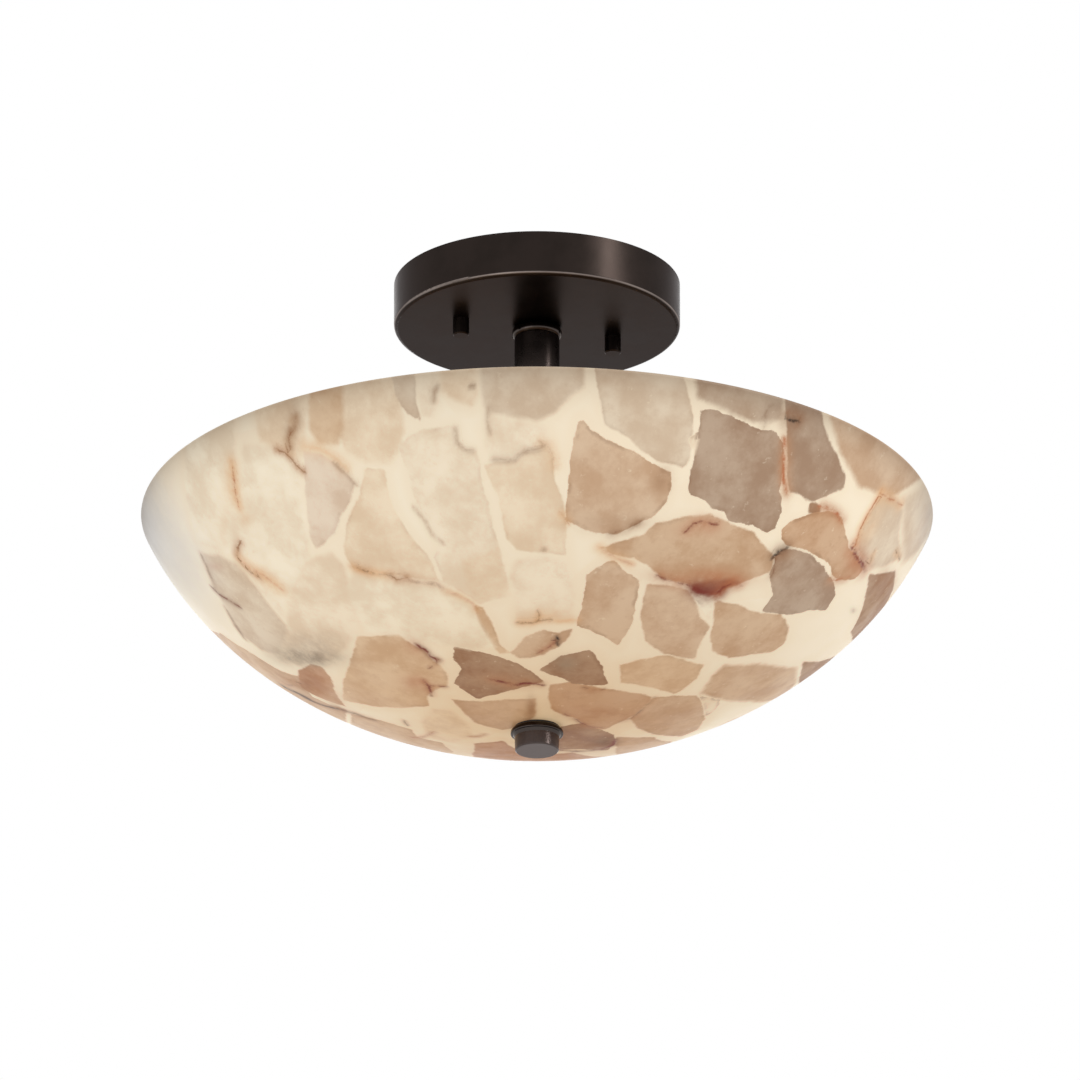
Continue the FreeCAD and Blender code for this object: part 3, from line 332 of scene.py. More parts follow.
VEINS = (
    Vein("left_streak", Tone.RUST, 0.6, Tone.OCHRE, 3.6, 0.75, (
        (239, 452), (240, 468), (241, 482), (244, 495))),
    Vein("left_wedge_core", Tone.COCOA, 0.6, Tone.UMBER, 3, 0.6, ((298, 423), (296, 430), (297, 437))),
    Vein("left_wedge_top", Tone.COCOA, 0.35, Tone.UMBER, 3, 0.5, ((304, 407), (303, 417), (299, 424))),
    Vein("left_crack", Tone.COCOA, 0.55, Tone.CLAY, 2.6, 0.75, (
        (284, 440), (291, 443), (297, 449), (303, 457), (309, 462))),
    Vein("upper_streak", Tone.OCHRE, 0.2, Tone.OCHRE, 4, 0.5, (
        (312, 438), (328, 441), (343, 451), (352, 460))),
    Vein("upper_streak_low", Tone.UMBER, 0.3, Tone.TAUPE, 2.2, 0.35, ((342, 456), (352, 466), (361, 476))),
    Vein("hook", Tone.COCOA, 0.7, Tone.CLAY, 3, 0.65, (
        (244, 532), (241, 538), (241, 546), (246, 553), (253, 561), (262, 567))),
    Vein("hook_tail", Tone.RUST, 0.3, Tone.OCHRE, 5, 0.6, ((246, 551), (256, 558), (268, 566), (282, 578))),
    Vein("low_left_fork", Tone.BLOOD, 0.7, Tone.BARK, 2.2, 0.55, (
        (216, 577), (223, 584), (231, 589), (240, 595))),
    Vein("low_left_fork_top", Tone.BARK, 0.35, Tone.UMBER, 2, 0.45, (
        (205, 543), (209, 553), (215, 568), (218, 577))),
    Vein("low_left_tick", Tone.BARK, 0.5, Tone.UMBER, 2, 0.5, ((238, 616), (242, 622), (246, 628))),
    Vein("low_left_tick_top", Tone.BARK, 0.2, Tone.UMBER, 1.6, 0.4, ((227, 596), (233, 607), (238, 616))),
    Vein("seam_speck", Tone.BARK, 0.6, Tone.CLAY, 3, 0.7, ((361, 561), (366, 563), (371, 565))),
    Vein("seam_line", Tone.BARK, 0.35, Tone.OCHRE, 3, 0.65, (
        (357, 560), (370, 565), (385, 568), (395, 570))),
    Vein("seam_left", Tone.COCOA, 0.55, Tone.CLAY, 3, 0.65, (
        (395, 570), (399, 573), (404, 573), (409, 572))),
    Vein("seam_right", Tone.BARK, 0.3, Tone.CLAY, 2.6, 0.5, (
        (409, 574), (425, 577), (440, 580), (449, 587))),
    Vein("seam_far", Tone.RUST, 0.2, Tone.OCHRE, 2.6, 0.5, (
        (449, 587), (462, 592), (475, 600), (478, 606))),
    Vein("centre_line", Tone.BARK, 0.45, Tone.OCHRE, 3, 0.65, (
        (522, 621), (533, 621), (541, 619), (550, 619))),
    Vein("centre_tick", Tone.BARK, 0.45, Tone.OCHRE, 2.2, 0.5, ((540, 612), (541, 619))),
    Vein("centre_line_right", Tone.OCHRE, 0.3, Tone.OCHRE, 2.2, 0.6, ((560, 620), (578, 620))),
    Vein("upper_tick", Tone.UMBER, 0.3, Tone.TAUPE, 2, 0.45, ((442, 396), (443, 387), (446, 383))),
    Vein("centre_edge", Tone.UMBER, 0.35, Tone.TAUPE, 2, 0.5, (
        (501, 457), (520, 458), (526, 453), (532, 449), (545, 448), (552, 444))),
    Vein("centre_edge_right", Tone.UMBER, 0.3, Tone.OCHRE, 3.4, 0.45, (
        (548, 441), (556, 446), (560, 455), (562, 464))),
    Vein("edge_right_of_pale", Tone.UMBER, 0.25, Tone.TAUPE, 1.6, 0.35, (
        (420, 503), (430, 516), (437, 530), (446, 538))),
    Vein("pale_hook", Tone.UMBER, 0.25, Tone.TAUPE, 1.6, 0.4, (
        (463, 425), (464, 438), (472, 446), (479, 447))),
    Vein("upper_fleck", Tone.UMBER, 0.3, Tone.TAUPE, 1.6, 0.35, ((496, 407), (495, 418), (497, 428))),
    Vein("shield_low_line", Tone.BARK, 0.5, Tone.UMBER, 3.2, 0.5, ((616, 534), (630, 530), (642, 525))),
    Vein("shield_left_line", Tone.CLAY, 0.4, Tone.OCHRE, 2.6, 0.6, ((567, 514), (572, 521))),
    Vein("rose_tip", Tone.RUST, 0.3, Tone.OCHRE, 3, 0.5, ((604, 548), (612, 555), (622, 560), (634, 565))),
    Vein("dark_arrow", Tone.BLOOD, 0.8, Tone.BLOOD, 2.4, 0.5, (
        (420, 641), (427, 646), (432, 652), (438, 655))),
    Vein("dark_arrow_low", Tone.BLOOD, 0.5, Tone.CLAY, 2.2, 0.4, ((438, 655), (436, 659), (431, 662))),
    Vein("dark_star", Tone.BLOOD, 0.8, Tone.RUST, 2.6, 0.5, ((424, 676), (428, 681), (430, 689))),
    Vein("dark_star_arm", Tone.BLOOD, 0.5, Tone.CLAY, 2.2, 0.5, ((428, 681), (434, 681), (443, 682))),
    Vein("blood_line", Tone.BLOOD, 1, Tone.CLAY, 3, 0.6, (
        (493, 677), (503, 679), (513, 683), (526, 681), (540, 683))),
    Vein("rose_crack", Tone.BLOOD, 0.7, Tone.RUST, 4, 0.45, (
        (692, 533), (698, 527), (707, 525), (719, 528))),
    Vein("red_line", Tone.BLOOD, 0.6, Tone.RUST, 4, 0.5, ((662, 579), (671, 583), (684, 586), (695, 590))),
    Vein("red_edge", Tone.BLOOD, 1.5, Tone.BLOOD, 5, 0.8, ((697, 592), (704, 597), (713, 599), (721, 597))),
    Vein("red_edge_right", Tone.BLOOD, 0.8, Tone.RUST, 4, 0.6, (
        (721, 597), (728, 590), (737, 586), (742, 589))),
    Vein("rust_wall", Tone.RUST, 1, Tone.CLAY, 3.4, 0.7, ((792, 499), (789, 484), (790, 465), (791, 447))),
    Vein("rust_wall_top", Tone.COAL, 0.8, Tone.COCOA, 5, 0.6, ((795, 425), (800, 427), (804, 428))),
    Vein("rust_wall_arc", Tone.BARK, 0.4, Tone.TAUPE, 3.2, 0.5, (
        (772, 429), (774, 419), (778, 412), (786, 412))),
    Vein("right_orange", Tone.RUST, 0.7, Tone.OCHRE, 3, 0.7, (
        (886, 502), (880, 512), (872, 524), (865, 536), (861, 548), (858, 556))),
    Vein("right_orange_top", Tone.RUST, 0.5, Tone.OCHRE, 3.6, 0.6, (
        (886, 503), (893, 507), (899, 510), (906, 515))),
    Vein("right_red", Tone.BLOOD, 1.1, Tone.RUST, 5, 0.55, (
        (856, 556), (859, 564), (865, 572), (869, 580))),
    Vein("right_top_edge", Tone.RUST, 0.9, Tone.CLAY, 3.6, 0.7, (
        (826, 514), (834, 517), (841, 521), (846, 530))),
    Vein("right_low_edge", Tone.RUST, 0.8, Tone.CLAY, 3.6, 0.6, ((834, 587), (842, 588), (850, 586))),
    Vein("right_tick", Tone.BARK, 0.5, Tone.OCHRE, 2.2, 0.5, ((899, 561), (903, 569))),
    Vein("right_tick_left", Tone.BARK, 0.5, Tone.OCHRE, 2.2, 0.5, ((877, 562), (874, 570))),
    Vein("dark_corner", Tone.COAL, 1.2, Tone.BARK, 4.6, 0.6, ((778, 562), (782, 557), (788, 555))),
    Vein("dark_corner_low", Tone.BARK, 0.5, Tone.UMBER, 3, 0.4, ((779, 562), (778, 572), (775, 580))),
    Vein("small_tan_line", Tone.BLOOD, 0.5, Tone.RUST, 1.8, 0.45, ((541, 650), (549, 646), (556, 641))),
    Vein("small_tan_dot", Tone.COAL, 1.1, Tone.BARK, 1.8, 0.4, ((558, 638), (558, 642))),
    Vein("long_edge", Tone.BLOOD, 0.5, Tone.CLAY, 2.6, 0.5, (
        (565, 714), (575, 719), (585, 726), (597, 728))),
    Vein("long_top", Tone.BARK, 0.4, Tone.CLAY, 2.6, 0.45, ((585, 688), (592, 690), (600, 690))),
    Vein("long_seam", Tone.BARK, 0.4, Tone.CLAY, 2.6, 0.45, (
        (652, 701), (642, 711), (630, 719), (622, 722))),
    Vein("brown_edge", Tone.BLOOD, 1, Tone.COCOA, 3, 0.6, (
        (553, 748), (575, 751), (598, 750), (610, 746), (613, 741))),
    Vein("bottom_dot", Tone.COAL, 0.8, Tone.COCOA, 2.2, 0.5, ((608, 757), (614, 756))),
    Vein("lower_pink", Tone.RUST, 0.4, Tone.CLAY, 2.2, 0.45, ((411, 732), (420, 732), (432, 727))),
    Vein("lower_dot", Tone.BARK, 0.5, Tone.UMBER, 1.8, 0.4, ((403, 715), (405, 719))),
    Vein("finial_tick", Tone.RUST, 0.4, Tone.CLAY, 2.2, 0.45, ((470, 733), (476, 733), (482, 731))),
    Vein("black_edge", Tone.COAL, 3, Tone.BARK, 4, 0.7, ((285, 678), (295, 683), (306, 689))),
    Vein("black_tail", Tone.COAL, 1, Tone.COCOA, 3.6, 0.7, ((306, 690), (322, 697), (341, 702))),
    Vein("black_tail_end", Tone.BARK, 0.8, Tone.COCOA, 3.6, 0.6, ((341, 702), (356, 707), (369, 712))),
    Vein("slate_line", Tone.BARK, 0.6, Tone.CLAY, 2.6, 0.5, ((281, 667), (290, 671), (299, 674))),
    Vein("slate_line_low", Tone.BARK, 0.35, Tone.CLAY, 2, 0.4, ((284, 675), (296, 676))),
)

# Painted sheen and shade where the bowl's outline turns away at left and right.
PAINTED_EDGE_SHADE_AND_SHEEN = (
    Stain("left_grey", Tone.EDGE_SHEEN_GREY, 0.9, (150, 520), (24, 90), -12),
    Stain("left_pale", Tone.EDGE_SHEEN_PALE, 0.55, (185, 545), (24, 70), -22),
    Stain("right_grey", Tone.SHADE, 0.5, (944, 520), (18, 60), 14),
)

STAINS = (
    Stain("left_streak_glow", Tone.OCHRE, 0.5, (235, 472), (7, 22)),
    Stain("left_wedge_glow", Tone.UMBER, 0.35, (301, 412), (9, 22)),
    Stain("left_yellow", Tone.STRAW, 0.4, (284, 435), (12, 9)),
    Stain("left_spot", Tone.STRAW, 0.7, (250, 509), (8, 7)),
    Stain("left_smudge", Tone.STRAW, 0.45, (228, 520), (5, 17)),
    Stain("hook_glow", Tone.OCHRE, 0.4, (268, 570), (20, 8), 35),
    Stain("fork_pink", Tone.RUST, 0.3, (219, 555), (8, 4), 10),
    Stain("slate_shadow", Tone.SLATE, 0.95, (308, 647), (30, 9), 3),
    Stain("slate_core", Tone.SLATE, 0.9, (308, 650), (24, 6), 3),
    Stain("slate_shadow_top", Tone.TAUPE, 0.45, (312, 634), (30, 12)),
    Stain("russet_core", Tone.COCOA, 0.5, (306, 676), (8, 8)),
    Stain("russet_fade", Tone.TAN, 0.6, (332, 690), (12, 10), 30),
    Stain("centre_line_glow", Tone.OCHRE, 0.3, (546, 613), (26, 6)),
    Stain("arrow_glow", Tone.RUST, 0.45, (415, 641), (10, 7), 25),
    Stain("star_glow", Tone.RUST, 0.45, (413, 677), (12, 8)),
    Stain("blood_glow", Tone.CLAY, 0.4, (508, 678), (28, 8), 8),
    Stain("finial_shadow", Tone.UMBER, 0.75, (530, 707), (5, 11)),
    Stain("rose_glow", Tone.RUST, 0.25, (706, 534), (26, 9)),
    Stain("rose_low_glow", Tone.CLAY, 0.65, (706, 580), (46, 10), 2),
    Stain("crescent_glow", Tone.RUST, 0.5, (716, 582), (22, 8)),
    Stain("rust_wall_glow", Tone.CLAY, 0.35, (795, 470), (5, 34)),
    Stain("rust_top_glow", Tone.COCOA, 0.45, (806, 421), (18, 8), 12),
    Stain("right_orange_glow", Tone.OCHRE, 0.4, (876, 534), (7, 28), 28),
    Stain("right_red_glow", Tone.RUST, 0.45, (860, 568), (10, 14)),
    Stain("right_dark_corner", Tone.UMBER, 0.65, (789, 561), (14, 6), -5),
    Stain("under_glow", Tone.COCOA, 0.5, (888, 592), (10, 16), 14),
    Stain("long_glow", Tone.CLAY, 0.4, (590, 712), (40, 12), 6),
    Stain("brown_patch", Tone.COAL, 0.5, (603, 742), (12, 4)),
    Stain("shield_corner", Tone.UMBER, 0.6, (668, 482), (10, 14), 14),
    Stain("shield_low", Tone.UMBER, 0.4, (618, 524), (34, 9)),
    Stain("grey_in_dark", Tone.SLATE, 0.6, (566, 664), (13, 8)),
    Stain("pale_dot", Tone.SLATE, 0.7, (855, 619), (3, 3)),
    Stain("pale_speck", Tone.UMBER, 0.6, (548, 548), (4, 3)),
    Stain("upper_dot", Tone.BARK, 0.95, (481, 383), (3, 3)),
    # Painted shade along the bowl's lower outline.
    Stain("bottom_painted_shade", Tone.UMBER, 0.28, (540, 758), (150, 18)),
)


class Wiring:
    """Adds shader nodes to one tree and joins them."""

    def __init__(self, tree: bpy.types.NodeTree) -> None:
        """Keeps the tree that the nodes go into."""
        self.tree = tree

    @classmethod
    def of(cls, owner: bpy.types.Material | bpy.types.World) -> "Wiring":
        """Empties the node tree of a material or world.

        Args:
            owner: the material or world.

        Returns:
            The wiring of its tree.
        """
        owner.use_nodes = True
        owner.node_tree.nodes.clear()
        return cls(owner.node_tree)

    def node(self, kind: str, inputs: dict[Any, Any] | None = None, **settings: Any) -> bpy.types.Node:
        """Adds a node, sets it up, and joins or sets its inputs.

        Args:
            kind: the node's type name.
            inputs: values or sockets by the name or number of the input.
            settings: attributes of the node.

        Returns:
            The new node.
        """
        made = self.tree.nodes.new(kind)
        for name, value in settings.items():
            setattr(made, name, value)
        for key, value in (inputs or {}).items():
            if isinstance(value, bpy.types.NodeSocket):
                self.tree.links.new(value, made.inputs[key])
            else:
                made.inputs[key].default_value = value
        return made

    def math(self, operation: str, first: Any, second: Any = 0.0, third: Any = 0.0) -> Socket:
        """Returns the result of one math node."""
        return self.node("ShaderNodeMath", {0: first, 1: second, 2: third}, operation=operation).outputs[0]

    def chain(self, operation: str, *values: Any) -> Socket:
        """Returns several values joined by the same operation."""
        return reduce(lambda first, second: self.math(operation, first, second), values)

    def mix(self, share: Any, first: Any, second: Any, blend: str = "MIX") -> Socket:
        """Returns two colours mixed by a share."""
        inputs = {0: share, 6: first, 7: second}
        return self.node("ShaderNodeMix", inputs, data_type="RGBA", blend_type=blend).outputs[2]

    def noise(self, vector: Socket, scale: Any, detail: float = 3.0, roughness: float = 0.55) -> Socket:
        """Returns the value of a noise texture on a vector."""
        inputs = {"Vector": vector, "Scale": scale, "Detail": detail, "Roughness": roughness}
        return self.node("ShaderNodeTexNoise", inputs).outputs[0]

    def ease(self, value: Any, low: Any, high: Any, start: Any = 0.0, end: Any = 1.0) -> Socket:
        """Returns a value eased from start to end as it goes from low to high."""
        inputs = {0: value, 1: low, 2: high, 3: start, 4: end}
        return self.node("ShaderNodeMapRange", inputs, interpolation_type="SMOOTHSTEP").outputs[0]

    def bump(self, height: Socket, strength: float = 1.0, distance: float = MM) -> Socket:
        """Returns the normal of a surface with a relief."""
        inputs = {"Height": height, "Distance": distance, "Strength": strength}
        return self.node("ShaderNodeBump", inputs).outputs[0]

    def attribute(self, name: str) -> Any:
        """Returns what a node gives that reads one of the mesh's own attributes."""
        return self.node("ShaderNodeAttribute", attribute_name=name).outputs

    def group(self, tree: bpy.types.NodeTree, inputs: dict[str, Any]) -> Any:
        """Returns what a group node gives."""
        return self.node("ShaderNodeGroup", inputs, node_tree=tree).outputs

    def direct_rays(self) -> Socket:
        """Returns 1 for camera, glossy and transmission rays, and 0 for all others."""
        rays = self.node("ShaderNodeLightPath").outputs
        return self.chain("MAXIMUM", *(rays[f"Is {kind} Ray"] for kind in DIRECT_KINDS))

    def close(self, results: dict[str, Socket]) -> bpy.types.NodeTree:
        """Joins a group's results to its output node and returns its tree."""
        self.node("NodeGroupOutput", results)
        return self.tree


def new_group(name: str, inputs: dict[str, str], outputs: dict[str, str]) -> tuple[Wiring, Any]:
    """Starts a shader node group with named inputs and outputs.

    Args:
        name: the group's name.
        inputs, outputs: socket kinds by socket name: Float, Vector or Color.

    Returns:
        The wiring of its tree and what its input node gives.
    """
    tree = bpy.data.node_groups.new(name, "ShaderNodeTree")
    for way, sockets in (("INPUT", inputs), ("OUTPUT", outputs)):
        for key, kind in sockets.items():
            tree.interface.new_socket(name=key, in_out=way, socket_type="NodeSocket" + kind)
    wires = Wiring(tree)
    return wires, wires.node("NodeGroupInput").outputs


class Effects:
    """The shader node groups that several materials share, each built once.

    Scales of noise are in features per metre, and distances in millimetres.
    """

    def __init__(self) -> None:
        """Builds all groups."""
        self.cast_grain = self.build_cast_grain()
        self.turned_grain = self.build_turned_grain()
        self.thread = self.build_thread()
        self.stone_layer = self.build_stone_layer()
        self.dust = self.build_dust()
        self.painted_lip_highlight = self.build_painted_lip_highlight()

    @staticmethod
    def build_cast_grain() -> bpy.types.NodeTree:
        """Fine grain of paint or glaze, as a height, with a wide mottle for colour and roughness.

        Returns:
            The group's tree.
        """
        wires, given = new_group("cast_grain", {"Vector": "Vector", "Size": "Float", "Mottle": "Float"},
                                 {"Height": "Float", "Patch": "Float"})
        fine = wires.noise(given["Vector"], given["Size"], 2.0, 0.6)
        patch = wires.noise(given["Vector"], given["Mottle"], 4.0, 0.6)
        return wires.close({"Height": fine, "Patch": wires.ease(patch, 0.32, 0.68)})

    @staticmethod
    def build_turned_grain() -> bpy.types.NodeTree:
        """Fine grooves round the Z axis, as a lathe or brush leaves them, as a height.

        The noise is taken at (distance from the axis, height, a small share of the angle), so that it hardly
        changes on the way round.

        Returns:
            The group's tree.
        """
        angle_share = 0.0004
        wires, given = new_group("turned_grain", {"Vector": "Vector", "Grooves": "Float"},
                                 {"Height": "Float"})
        part = wires.node("ShaderNodeSeparateXYZ", {0: given["Vector"]}).outputs
        square = wires.math("MULTIPLY_ADD", part[0], part[0], wires.math("MULTIPLY", part[1], part[1]))
        turn = wires.math("MULTIPLY", wires.math("ARCTAN2", part[1], part[0]), angle_share)
        rings = wires.node("ShaderNodeCombineXYZ", {0: wires.math("SQRT", square), 1: part[2], 2: turn})
        scaled = wires.node("ShaderNodeVectorMath", {0: rings.outputs[0], "Scale": given["Grooves"]},
                            operation="SCALE")
        return wires.close({"Height": wires.noise(scaled.outputs[0], 1.0, 3.0, 0.7)})

    @staticmethod
    def build_thread() -> bpy.types.NodeTree:
        """Thread ridges along an axis, as a height that rises and falls once in each pitch.

        Returns:
            The group's tree.
        """
        wires, given = new_group("thread", {"Along": "Float", "Pitch": "Float"}, {"Height": "Float"})
        turns = wires.math("DIVIDE", given["Along"], given["Pitch"])
        return wires.close({"Height": wires.math("PINGPONG", turns, 0.5)})

    @staticmethod
    def build_stone_layer() -> bpy.types.NodeTree:
        """One layer of stones over what lies under it.

        The distance to the stone's edge, roughened by noise, becomes a mask as wide as the edge is soft.
        The stone gets clouds, flecks and pale crumbs of its own, and a thin darker line just inside its edge
        that shows in parts and only where the edge is sharp.

        Returns:
            The group's tree.
        """
        rough_scale, wobble_scale, cloud_scale = 190.0, 46.0, 40.0
        fleck_scale, crumb_scale, broken_scale = 130.0, 210.0, 75.0
        rough_height, wobble_height, line_from, line_to = 3.2, 2.0, 2.6, 0.6
        wires, given = new_group(
            "stone_layer",
            {"Under": "Color", "Distance": "Float", "Tone": "Color", "Softness": "Float", "Vector": "Vector"},
            {"Colour": "Color", "Mask": "Float"})
        place, tone, softness = given["Vector"], given["Tone"], given["Softness"]
        rough = wires.math("SUBTRACT", wires.noise(place, rough_scale, 5.0, 0.65), 0.5)
        wobble = wires.math("SUBTRACT", wires.noise(place, wobble_scale, 2.0), 0.5)
        moved = wires.math("MULTIPLY_ADD", rough, rough_height, given["Distance"])
        moved = wires.math("MULTIPLY_ADD", wobble, wobble_height, moved)
        mask = wires.ease(moved, wires.math("MULTIPLY", softness, -1.0), softness)

        darker = wires.mix(1.0, tone, STONE_DEPTH, "MULTIPLY")
        paler = wires.mix(0.2, tone, Tone.RESIN.value)
        cloud = wires.ease(wires.noise(place, cloud_scale, 6.0, 0.62), 0.34, 0.64)
        clouded = wires.mix(0.3, wires.mix(cloud, darker, paler), tone)
        fleck = wires.ease(wires.noise(place, fleck_scale, 6.0, 0.75), 0.5, 0.78, 0.0, 0.5)
        clouded = wires.mix(fleck, clouded, darker)
        crumb = wires.ease(wires.noise(place, crumb_scale, 4.0, 0.7), 0.62, 0.72, 0.0, 0.28)
        clouded = wires.mix(crumb, clouded, Tone.RESIN.value)

        broken = wires.ease(wires.noise(place, broken_scale, 3.0), 0.46, 0.62, 0.0, 0.3)
        line = wires.chain("MULTIPLY", wires.ease(moved, 0.0, 0.5), wires.ease(moved, line_from, line_to),
                           wires.ease(softness, 1.2, 0.3), broken)
        lined = wires.mix(line, clouded, Tone.BARK.value)
        return wires.close({"Colour": wires.mix(mask, given["Under"], lined), "Mask": mask})

    @staticmethod
    def build_dust() -> bpy.types.NodeTree:
        """A thin film of dust that lies in patches on faces that look up, as a mask.

        Returns:
            The group's tree.
        """
        wires, given = new_group("dust", {"Vector": "Vector", "Normal": "Vector", "Amount": "Float"},
                                 {"Mask": "Float"})
        up = wires.node("ShaderNodeSeparateXYZ", {0: given["Normal"]}).outputs[2]
        patch = wires.ease(wires.noise(given["Vector"], 60.0, 5.0, 0.7), 0.35, 0.75, 0.35, 1.0)
        lying = wires.ease(up, 0.3, 0.95)
        return wires.close({"Mask": wires.chain("MULTIPLY", lying, patch, given["Amount"])})

    @staticmethod
    def build_painted_lip_highlight() -> bpy.types.NodeTree:
        """A painted highlight along rounded lower edges, where faces look a little down, as a mask.

        Returns:
            The group's tree.
        """
        wires, given = new_group("painted_lip_highlight", {"Normal": "Vector", "Vector": "Vector", "Amount": "Float"},
                                 {"Mask": "Float"})
        height = wires.node("ShaderNodeSeparateXYZ", {0: given["Normal"]}).outputs[2]
        # Faces turned a little down, such as the canopy's lip, get the painted highlight.
        from_level, from_below = wires.ease(height, -0.1, -0.35), wires.ease(height, -0.72, -0.4)
        uneven = wires.ease(wires.noise(given["Vector"], 38.0, 3.0), 0.3, 0.7, 0.55, 1.0)
        return wires.close({
            "Mask": wires.chain("MULTIPLY", from_level, from_below, uneven, given["Amount"])})


@dataclass(frozen=True)
class Finish:
    """What all finishes share: a name, and a Principled material on Object coordinates."""

    name: str

    def start(self) -> tuple[bpy.types.Material, Wiring, Socket, Socket]:
        """Starts the material.

        Returns:
            The material, its wiring, the Object coordinates and the normal.
        """
        made = bpy.data.materials.new(self.name)
        wires = Wiring.of(made)
        place = wires.node("ShaderNodeTexCoord").outputs
        return made, wires, place["Object"], place["Normal"]

    @staticmethod
    def surface(wires: Wiring, inputs: dict[str, Any]) -> None:
        """Adds the Principled node with its inputs, and the output."""
        shader = wires.node("ShaderNodeBsdfPrincipled", inputs)
        wires.node("ShaderNodeOutputMaterial", {"Surface": shader.outputs[0]})


@dataclass(frozen=True)
class PaintedMetal(Finish):
    """Satin paint over metal, with a fine cast grain, faint patches, a little dust on top and a painted
    highlight on rounded lower edges.
    """

    colour: Colour = from_screen(41, 35, 32)
    patch: Colour = from_screen(46, 39, 36)
    edge_tint: Colour = (0.66, 0.64, 0.64, 1.0)
    # Colour and amount of the painted highlight on rounded lower edges.
    lip_highlight: Colour = from_screen(146, 134, 128)
    dust: Colour = from_screen(120, 112, 104)
    lip_highlight_amount: float = 0.9
    roughness: float = 0.32
    grain: float = 0.006
    turned: float = 0.0
    dusty: float = 0.1
    grain_scale: float = 2600.0
    mottle_scale: float = 55.0
    groove_scale: float = 5200.0

    def material(self, effects: Effects) -> bpy.types.Material:
        """Builds the material.

        Args:
            effects: the shared node groups.

        Returns:
            The material.
        """
        made, wires, place, normal = self.start()
        grain = wires.group(effects.cast_grain,
                            {"Vector": place, "Size": self.grain_scale, "Mottle": self.mottle_scale})
        dust = wires.group(effects.dust, {"Vector": place, "Normal": normal, "Amount": self.dusty})
        lip_lit = wires.group(effects.painted_lip_highlight, {"Normal": normal, "Vector": place, "Amount": self.lip_highlight_amount})
        colour = wires.mix(grain["Patch"], self.colour, self.patch)
        # Painted highlight: lighter colour on rounded lower edges such as the canopy's lip.
        colour = wires.mix(lip_lit["Mask"], colour, self.lip_highlight)
        colour = wires.mix(dust["Mask"], colour, self.dust)
        rough = wires.ease(grain["Patch"], 0.0, 1.0, self.roughness - 0.02, self.roughness + 0.03)
        rough = wires.math("MULTIPLY_ADD", dust["Mask"], 0.4, rough)
        height = wires.math("MULTIPLY", grain["Height"], self.grain)
        if self.turned:
            rings = wires.group(effects.turned_grain, {"Vector": place, "Grooves": self.groove_scale})
            height = wires.math("MULTIPLY_ADD", rings["Height"], self.turned, height)
        self.surface(wires, {"Base Color": colour, "Roughness": rough, "Metallic": 1.0,
                             "Specular Tint": self.edge_tint, "Normal": wires.bump(height)})
        return made


@dataclass(frozen=True)
class BareMetal(Finish):
    """Plated or bare metal, with turned grooves, stains and, where it has one, a thread."""

    colour: Colour = from_screen(196, 196, 192)
    stain: Colour = from_screen(158, 154, 146)
    roughness: float = 0.32
    pitch: float = 0.0
    axis: int = 2
    grain: float = 0.02
    grain_scale: float = 1800.0
    mottle_scale: float = 90.0
    groove_scale: float = 4200.0

    def material(self, effects: Effects) -> bpy.types.Material:
        """Builds the material.

        Args:
            effects: the shared node groups.

        Returns:
            The material.
        """
        made, wires, place, _ = self.start()
        grain = wires.group(effects.cast_grain,
                            {"Vector": place, "Size": self.grain_scale, "Mottle": self.mottle_scale})
        rings = wires.group(effects.turned_grain, {"Vector": place, "Grooves": self.groove_scale})
        colour = wires.mix(grain["Patch"], self.colour, self.stain)
        rough = wires.ease(grain["Patch"], 0.0, 1.0, self.roughness, self.roughness + 0.15)
        height = wires.math("MULTIPLY", wires.math("ADD", grain["Height"], rings["Height"]), self.grain)
        if self.pitch:
            along = wires.node("ShaderNodeSeparateXYZ", {0: place}).outputs[self.axis]
            ridge = wires.group(effects.thread, {"Along": along, "Pitch": self.pitch})
            height = wires.math("MULTIPLY_ADD", ridge["Height"], self.pitch / MM, height)
        self.surface(wires, {"Base Color": colour, "Roughness": rough, "Metallic": 1.0,
                             "Normal": wires.bump(height)})
        return made


@dataclass(frozen=True)
class Moulded(Finish):
    """Moulded or glazed surfaces: porcelain, rubber, plastic and wire covering."""

    colour: Colour = from_screen(238, 234, 224)
    patch: Colour = from_screen(226, 220, 206)
    dust: Colour = from_screen(168, 160, 148)
    roughness: float = 0.25
    coat: float = 0.0
    grain: float = 0.03
    dusty: float = 0.25
    grain_scale: float = 900.0
    mottle_scale: float = 70.0

    def material(self, effects: Effects) -> bpy.types.Material:
        """Builds the material.

        Args:
            effects: the shared node groups.

        Returns:
            The material.
        """
        made, wires, place, normal = self.start()
        grain = wires.group(effects.cast_grain,
                            {"Vector": place, "Size": self.grain_scale, "Mottle": self.mottle_scale})
        dust = wires.group(effects.dust, {"Vector": place, "Normal": normal, "Amount": self.dusty})
        colour = wires.mix(grain["Patch"], self.colour, self.patch)
        colour = wires.mix(dust["Mask"], colour, self.dust)
        rough = wires.ease(grain["Patch"], 0.0, 1.0, self.roughness, self.roughness + 0.12)
        height = wires.math("MULTIPLY", grain["Height"], self.grain)
        self.surface(wires, {"Base Color": colour, "Roughness": rough, "Normal": wires.bump(height),
                             "Coat Weight": self.coat, "Coat Roughness": 0.08})
        return made


